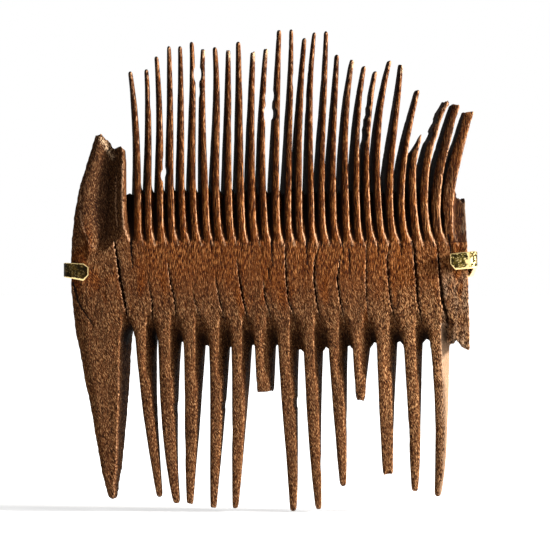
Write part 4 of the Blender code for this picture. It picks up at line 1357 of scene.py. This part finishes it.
def slot_shade(x, y, z, facing_right, facing_up, depth, broken_off, lit_flank):
    """How much painted shade each point takes: deep in a slot, on flanks facing away from the key lamp, and
    in the shadow of the left guard's hollow.
    """
    floor = clamp((facing_up - 0.2) / 0.2) * (z < SPINE_TOP + FINE_CLIMB) * (x > ROW_START - 0.5 * MM)
    # painted shade on the flanks that face away from the key lamp
    away_from_lamp_shade = 0.14 * clamp((-facing_right - 0.3) / 0.4)
    # the painted shade is weaker towards the tips of the coarse teeth, and on the fine teeth weaker as a
    # point faces the key lamp
    coarse_shade_scale = mix(0.12, 0.6, ease((z - SPINE_BOTTOM + 6.0 * MM) / (4.0 * MM)))
    shade_scale = np.where(z > 0.0, clamp(0.9 - 1.5 * facing_right), coarse_shade_scale)
    # painted shade: deep in a slot, on the slot floors, and on the flanks facing away from the lamp
    dark = np.where(z > 0.0, 3.0 * (depth - 0.06) + away_from_lamp_shade + 5.0 * depth * floor, depth)
    dark = dark * shade_scale * ~lit_flank
    # the broken teeth at the right stand in the open and take less painted shade, the outer faces
    # of the guards take none, and the remnant of the right guard takes one even darkness
    bared = mix(0.5, 0.2, clamp((x - fine_x(26, z)) / FINE_PITCH))
    outside = (x > right_edge(z) - 0.5 * MM) | (x < guard_edges(z)[0] + 0.6 * MM)
    past_teeth = x > slot_x(fine_x, FINE_COUNT, FINE_PITCH, FINE_COUNT, z) + 0.2 * MM
    remnant = past_teeth & (z > SPINE_TOP - 0.5 * MM)
    dark = np.where(remnant, 0.26, dark * np.where(broken_off, bared, 1.0) * ~outside)
    # painted shadow in the left guard's hollow, where its right rim blocks the key lamp
    hollow = 0.18 * clamp(hollow_depth(x, z) / (1.1 * MM)) * clamp((-28.6 * MM - x) / (1.4 * MM)) * (y < 0)
    return np.maximum(dark, hollow * (0.3 + 0.7 * clamp((22.6 * MM - z) / (3.0 * MM))))


print("front face lies", round(1000 * float(front_recess(-0.0300, 0.0140)), 2), "mm back in the hollow")

# %% Torn ends and closed seams
def torn_share(x, z):
    """How torn each point is: along the torn edges, and near the ends of broken teeth."""
    torn = np.zeros(len(x))
    for line in TORN_EDGES:
        torn = np.maximum(torn, TORN_STRENGTH * along_line(x, z, line, TORN_HALF_WIDTH))
    for number in TORN_TIPS:
        tip = SPINE_TOP + FINE_TEETH[number - 1][0] * FINE_REACH
        beside = np.abs(x - fine_x(number, tip)) < 1.1 * MM
        torn = np.maximum(torn, TORN_STRENGTH * clamp((z - tip + 0.0030) / 0.0015) * beside)
    return torn


def closed_seam(x, y, z):
    """One where a crack has closed and two skins only touch, so that neither rubbed wear nor painted crease
    shade shows there.
    """
    seam = np.zeros(len(x))
    for number in range(1, len(CRACKS) + 1):
        middle = crack_x(number, z)
        away = np.abs(x - middle + slant(middle, z) * y) / MM
        seam = np.maximum(seam, clamp(2.2 - away) * (crack_width(number, z) < 0.05))
    return clamp(seam) * (np.abs(z) < 0.02)


def mark_skin(made):
    """Stores on each point of a wooden piece its relief with painted highlights, its painted shade, how split
    and how torn it is.
    """
    points, _ = mesh_arrays(made.data)
    normals = np.empty(points.size, np.float32)
    made.data.vertices.foreach_get("normal", normals)
    facing_right, _, facing_up = normals.reshape(-1, 3).T
    x, y, z = points.T
    depth = slot_depth(x, y, z)
    broken_off = (x > fine_x(25, z) - 0.6 * FINE_PITCH) & (z > SPINE_TOP + 5.0 * MM)
    # the right flank of the last coarse tooth stands in the lamp's light, and is painted paler as a highlight
    lit_flank = (x > coarse_x(COARSE_COUNT, z)) & (z < SPINE_BOTTOM - 0.5 * MM) & (facing_right > 0.2)
    lit_flank = lit_flank & (made.name == f"Stave_{COARSE_COUNT}")

    ridge = worn_ridge(x, y, z, facing_right, depth, broken_off)
    # painted shade in the slots, on the flanks facing away from the lamp and in the hollow
    deep = slot_shade(x, y, z, facing_right, facing_up, depth, broken_off, lit_flank)
    # the splits, which the finish paints dark as shade
    split = split_nearness(x, z, 0.24) / 0.4 * (deep < 0.35) * (y < 0)
    # a torn of minus one marks the flank with the painted highlight
    torn = np.where(lit_flank, -1.0, torn_share(x, z))
    relief_and_highlight = np.empty(len(x), np.float32)
    stored = made.data.attributes["relief_and_highlight"].data
    stored.foreach_get("value", relief_and_highlight)
    relief_and_highlight = relief_and_highlight * (1.0 - closed_seam(x, y, z))
    # the painted highlight along the lamp-facing edges joins the relief measure
    stored.foreach_set("value", np.maximum(relief_and_highlight, 1.3 * ridge).astype(np.float32))
    for name, values in (("deep", deep), ("split", split), ("torn", torn)):
        made.data.attributes.new(name, "FLOAT", "POINT").data.foreach_set("value", values.astype(np.float32))


print("skin marks ready")

# %% Make the wooden pieces
ROUGH_WEAR = {"Wave Depth": 0.00013, "Pit Depth": 0.00014, "Pit Top": 0.006}


def teeth_of(fine_numbers, coarse_number=None):
    parts = [(fine_teeth[n - 1], fine_faces) for n in fine_numbers]
    if coarse_number:
        parts.append((coarse_teeth[coarse_number - 1], coarse_faces))
    return [(carved(points[:, 0], points[:, 1], points[:, 2]), faces) for points, faces in parts]


wooden = [wooden_piece("Left_guard", "left_end_guard", [left_guard_block()], WOOD)]
first_fine = 1
for number in range(1, COARSE_COUNT + 1):
    last_fine = CRACKS[number][0]
    parts = [stave_block(number, number + 1), *teeth_of(range(first_fine, last_fine + 1), number)]
    if number == 1:
        parts.append(upright_block())
    wooden.append(wooden_piece(f"Stave_{number:02d}", f"stave_{number:02d}", parts, WOOD))
    first_fine = last_fine + 1
parts = [right_guard_block(), remnant_block(), *teeth_of(range(first_fine, FINE_COUNT + 1))]
wooden.append(wooden_piece("Right_guard", "right_end_guard", parts, WOOD, **ROUGH_WEAR))
for made in wooden:
    mark_skin(made)
face_counts = [len(made.data.polygons) for made in wooden]
print("wooden pieces:", len(wooden), "with", sum(face_counts), "faces, the most in one", max(face_counts))

# %% [markdown]
# ## The brass clips
#
# Each clip is one flat strip bent round an end of the comb. A strip along a path is
# Geometry Nodes' own ground: a curve carries a rounded profile from one cut end round
# to the other. The path holds the direction that faces out at each point, and the tree
# builds every point from it, so the strip can't twist.
#
# Old brass wears a dark skin that rubs off along its edges. Both clips share one shader
# group for the patches and specks of that skin, and differ in their colours.

# %% The clip tree
def clip_tree():
    tree, given, out = new_tree("Bent strip", "GeometryNodeTree", {
        "Geometry": "Geometry", "Thickness": CLIP_THICKNESS, "Width": 0.0031, "Edge Round": 0.00018,
        "Grain": 0.00011, "Dent Depth": 0.00004, "Cut Length": 0.0010, "Cut Share": 0.5, "Cut Rise": 0.0,
        "Middle Z": 0.0, "Tilt": 0.1, "Fall": 0.0, "Outer X": 0.0, "Spread": 0.0, "Seed": 0.0,
        "Finish": "Material"}, {"Geometry": "Geometry"})

    def resampled(curve):
        even = add_node(tree, "GeometryNodeResampleCurve",
                        {"Curve": curve, "Length": given["Grain"]}, mode="LENGTH")
        return even.outputs[0]

    path = add_node(tree, "GeometryNodeMeshToCurve", {0: given["Geometry"]})
    run = Wire(tree, add_node(tree, "GeometryNodeSplineParameter").outputs["Length"])
    length = Wire(tree, add_node(tree, "GeometryNodeSplineLength").outputs["Length"])
    lined = store_attribute(tree, resampled(path.outputs[0]), "from_end", run.below(length - run))
    lined = store_attribute(tree, lined, "middle", position(tree), "FLOAT_VECTOR")
    sheet = add_node(tree, "GeometryNodeCurvePrimitiveQuadrilateral",
                     {"Width": given["Thickness"], "Height": given["Width"]})
    eased = add_node(tree, "GeometryNodeFilletCurve",
                     {"Curve": sheet.outputs[0], "Count": 3, "Radius": given["Edge Round"]}, mode="POLY")
    profile = store_attribute(tree, resampled(eased.outputs[0]), "profile", position(tree), "FLOAT_VECTOR")
    swept = add_node(tree, "GeometryNodeCurveToMesh",
                     {"Curve": lined, "Profile Curve": profile, "Fill Caps": True})

    middle, outward, local = (axes_of(tree, read_attribute(tree, name, "FLOAT_VECTOR"))
                              for name in ("middle", "outward", "profile"))
    from_end = Wire(tree, read_attribute(tree, "from_end"))
    near_cut = (1.0 - from_end / given["Cut Length"]).above(0.0)
    inside = abs(middle[0] - given["Outer X"])
    behind = (middle[1] / SPINE_THICKNESS + 0.5).within_one()
    keep = 1.0 - near_cut * (1.0 - given["Cut Share"])
    keep = keep * (1.0 + (inside - 0.0030) * given["Spread"])
    z = given["Middle Z"] + local[1] * keep + near_cut * given["Cut Rise"]
    z = z - inside * given["Tilt"] - behind * given["Fall"]
    point = place_of(tree, middle[0] + outward[0] * local[0], middle[1] + outward[1] * local[0], z)
    shaped = add_node(tree, "GeometryNodeSetPosition", {"Geometry": swept.outputs[0], "Position": point})
    seed = along_all(tree, given["Seed"])
    dents = noise(tree, stretched(tree, position(tree), (1500.0, 1500.0, 1500.0), seed), 1.0)
    dented = push_along(tree, shaped.outputs[0], normal(tree), (dents - 0.62) * given["Dent Depth"] * 2.0)
    edge = (abs(local[1]) / given["Width"] * 2.0).above(1.0 - from_end / (given["Edge Round"] * 3.0))
    end_tree(tree, store_attribute(tree, dented, "edge", edge), given["Finish"], out)
    return tree


CLIP_TREE = clip_tree()
print("clip tree:", len(CLIP_TREE.nodes), "nodes")

# %% The clips' paths
BEND_RADIUS = 0.0013
# between the wood's faces and a strip
FACE_GAP = 0.0003


def clip_path(name, outer, inward, reach):
    """The strip's middle line in plan, as a mesh of edges with the way out at each point."""
    mid_y = 0.5 * SPINE_THICKNESS + FACE_GAP + 0.5 * CLIP_THICKNESS
    centre_x = outer + inward * (0.5 * CLIP_THICKNESS + BEND_RADIUS)
    points = [(outer + inward * reach, -mid_y, 0.0)]
    outward = [(0.0, -1.0, 0.0)]
    for side in (-1, 1):
        for angle in np.linspace(0.0, 0.5 * math.pi, 9):
            turn = angle if side > 0 else 0.5 * math.pi - angle
            way = (-inward * math.cos(turn), side * math.sin(turn), 0.0)
            y = side * (mid_y - BEND_RADIUS) + way[1] * BEND_RADIUS
            points.append((centre_x + way[0] * BEND_RADIUS, y, 0.0))
            outward.append(way)
    points.append((outer + inward * reach, mid_y, 0.0))
    outward.append((0.0, 1.0, 0.0))
    mesh = bpy.data.meshes.new(name)
    mesh.from_pydata(points, [(i, i + 1) for i in range(len(points) - 1)], [])
    mesh.attributes.new("outward", "FLOAT_VECTOR", "POINT").data.foreach_set("vector", np.ravel(outward))
    return mesh


print("clip paths ready")

# %% Tarnish group and brass materials
# an old face's colours, from its darkest patches to its palest
DARK_FACE = ((0.005, 0.003, 0.0004), (0.016, 0.0095, 0.0012), (0.048, 0.028, 0.0045))
OLIVE_FACE = ((0.010, 0.007, 0.001), (0.062, 0.044, 0.006), (0.22, 0.165, 0.044))
BARE_BRASS = (0.86, 0.66, 0.30, 1.0)


def tarnish_group():
    tree, given, out = new_tree("Brass tarnish", "ShaderNodeTree", {"Place": "Vector", "Seed": 0.0},
                                {"Patches": "Float", "Specks": "Float", "Height": "Float"})
    seed = along_all(tree, given["Seed"])
    patches = noise(tree, stretched(tree, given["Place"], (1500.0, 1500.0, 1500.0), seed), 3.0, 0.6)
    specks = noise(tree, stretched(tree, given["Place"], (3400.0, 3400.0, 3400.0), seed), 2.0, 0.6)
    put_out(tree, out, {"Patches": patches, "Specks": specks, "Height": patches + specks * 0.4})
    return tree


TARNISH_GROUP = tarnish_group()


def brass_material(name, face, bare_band, thick_edge, flecks, seed):
    """Brass with a dark skin on its faces and bright metal along its edges and in one band."""
    material, tree, shader, place = new_material(name)
    x, _, z = axes_of(tree, place)
    skin = place_group(tree, TARNISH_GROUP, {"Place": place, "Seed": seed})
    patches, specks = skin["Patches"], skin["Specks"]
    thicker = (x * thick_edge[0] - z * thick_edge[1] - thick_edge[2]) * 60.0
    bare = (mark(tree, "edge") + (specks - 0.5) * 0.25 + thicker.above(-0.08).below(0.14)).share(0.80, 0.92)
    uneven = x + (patches - 0.5) * 0.0030
    band = uneven.share(*bare_band[:2]) * (1.0 - uneven.share(*bare_band[2:]) * z.share(-0.0012, -0.0004))
    bare = bare.above(band).above(specks.share(0.56, 0.62) * patches.share(0.42, 0.55) * flecks)
    colour = colour_ramp(tree, patches, tuple(zip((0.38, 0.52, 0.66), face)))
    colour = mix_colour(tree, x.share(0.0364, 0.0368) * 0.75, colour, (*face[0], 1.0))
    plug(tree, mix_colour(tree, bare, colour, BARE_BRASS), shader.inputs["Base Color"])
    plug(tree, bare * 0.5 + 0.40, shader.inputs["Metallic"])
    plug(tree, 0.50 - bare * 0.20, shader.inputs["Roughness"])
    shader.inputs["Specular IOR Level"].default_value = 0.05
    add_bump(tree, shader, skin["Height"], 0.00010)
    return material


LEFT_BRASS = brass_material("Dark brass", DARK_FACE, (0.9, 1.0, 0.9, 1.0), (0.5, 1.0, -0.0172), 0.12, 4.0)
RIGHT_BRASS = brass_material(
    "Bright brass", OLIVE_FACE, (0.0356, 0.0361, 0.0365, 0.0368), (0.0, 1.0, -0.0016), 0.8, 9.0)
print("tarnish group:", len(TARNISH_GROUP.nodes), "nodes, in", LEFT_BRASS.name, "and", RIGHT_BRASS.name)

# %% Make the clips
def clip_piece(name, node, outer, inward, reach, sizes, finish):
    path = clip_path(name, outer, inward, reach)
    skin = bake(name, path, CLIP_TREE, {"Outer X": outer, "Finish": finish, **sizes})
    made = place_skin(name, node, skin)
    return made


left_clip = clip_piece("Left_clip", "left_brass_clip", -0.5 * WIDTH, 1, 0.0046, {
    "Middle Z": SPINE_BOTTOM + 0.0093, "Tilt": 0.13, "Spread": 55.0, "Cut Share": 0.45, "Cut Rise": 0.0003,
    "Cut Length": 0.0009, "Seed": 2.0}, LEFT_BRASS)
right_clip = clip_piece("Right_clip", "right_brass_clip", 0.5 * WIDTH, -1, 0.0050, {
    "Middle Z": SPINE_BOTTOM + 0.0112, "Tilt": 0.10, "Fall": 0.0016, "Cut Share": 0.62, "Cut Rise": 0.00055,
    "Cut Length": 0.0009, "Seed": 5.0}, RIGHT_BRASS)
for made in (left_clip, right_clip):
    print(made.name, len(made.data.polygons), "faces", [round(1000 * v, 2) for v in made.dimensions])

# %% [markdown]
# ## Camera, light and floor
#
# The comb is seen square on from half a metre, with a lens narrow enough that it nearly
# fills the picture. A key lamp stands far to the right, so that each tooth is lit along
# its right edge and dark on its left flank. A weaker and wider fill lamp stands between
# it and the camera, and a pale world fills the shadows.

# %% Camera
MM_PER_PIXEL = 0.185
PICTURE_WIDTH = 550
camera_data = bpy.data.cameras.new("Camera")
camera_data.sensor_width = 36.0
camera_data.lens = 36.0 * 0.5 / (PICTURE_WIDTH * MM_PER_PIXEL * MM)
camera_data.clip_start = 0.01
camera = place_object("Camera", camera_data)
camera.location = (4.5 * MM_PER_PIXEL * MM, -0.5, -5.0 * MM_PER_PIXEL * MM)
camera.rotation_euler = (math.radians(90), 0.0, 0.0)
bpy.context.scene.camera = camera
print("camera lens", round(camera_data.lens, 1), "mm")

# %% Lamps
def lamp(name, azimuth, elevation, distance, size, power, colour=(1.0, 1.0, 1.0)):
    """A square lamp round the comb: azimuth 0 is the camera's side, and 90 the right."""
    data = bpy.data.lights.new(name, "AREA")
    data.size = size
    data.energy = power
    data.color = colour
    made = place_object(name, data)
    a, e = math.radians(azimuth), math.radians(elevation)
    way = (math.sin(a) * math.cos(e), -math.cos(a) * math.cos(e), math.sin(e))
    made.location = [distance * part for part in way]
    made.rotation_euler = (math.radians(90) - e, 0.0, a)


def seen_share(tree):
    """One on a ray that shows its end in the picture, and nought on one that only brings light."""
    rays = tree.nodes.new("ShaderNodeLightPath")
    camera_ray, glossy, clear = (Wire(tree, rays.outputs[f"Is {kind} Ray"])
                                 for kind in ("Camera", "Glossy", "Transmission"))
    return (camera_ray + glossy + clear).below(1.0)


lamp("Key", 80, 14, 0.8, 0.16, 28.0, (1.0, 0.97, 0.93))
lamp("Fill", 56, 20, 1.0, 0.4, 4.0)

world = bpy.data.worlds.new("Studio")
bpy.context.scene.world = world
world.use_nodes = True
backdrop = world.node_tree.nodes["Background"]
plug(world.node_tree, seen_share(world.node_tree) * 0.91 + 0.09, backdrop.inputs["Strength"])
backdrop.inputs["Color"].default_value = (1.0, 1.0, 1.0, 1.0)
print("lamps and world ready")

# %% Floor
floor_z = cad_box[0].z - 0.0002
floor_mesh = bpy.data.meshes.new("Floor")
corners = [(x, y, floor_z) for x, y in ((-3.0, -1.0), (3.0, -1.0), (3.0, 5.0), (-3.0, 5.0))]
floor_mesh.from_pydata(corners, [], [(0, 1, 2, 3)])
floor = place_object("Floor", floor_mesh)
white, tree, shader, place = new_material("Pale floor")
shader.inputs["Base Color"].default_value = (0.8, 0.8, 0.8, 1.0)
shader.inputs["Roughness"].default_value = 0.9
shader.inputs["Emission Color"].default_value = (1.0, 1.0, 1.0, 1.0)
away = add_node(tree, "ShaderNodeVectorMath", {0: place}, operation="LENGTH").outputs["Value"]
glow = Wire(tree, away).share(0.10, 0.55) * 0.38 + 0.64
plug(tree, seen_share(tree) * glow, shader.inputs["Emission Strength"])
floor_mesh.materials.append(white)
floor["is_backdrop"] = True
bpy.context.scene.view_settings.view_transform = "Standard"
print("floor at z =", round(floor_z, 4))

# %% Compare the boxes and finish
model_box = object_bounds()
for label, box in (("model", model_box), ("solids", cad_box)):
    print(label, [round(1000 * (b - a), 2) for a, b in zip(*box)], "mm")
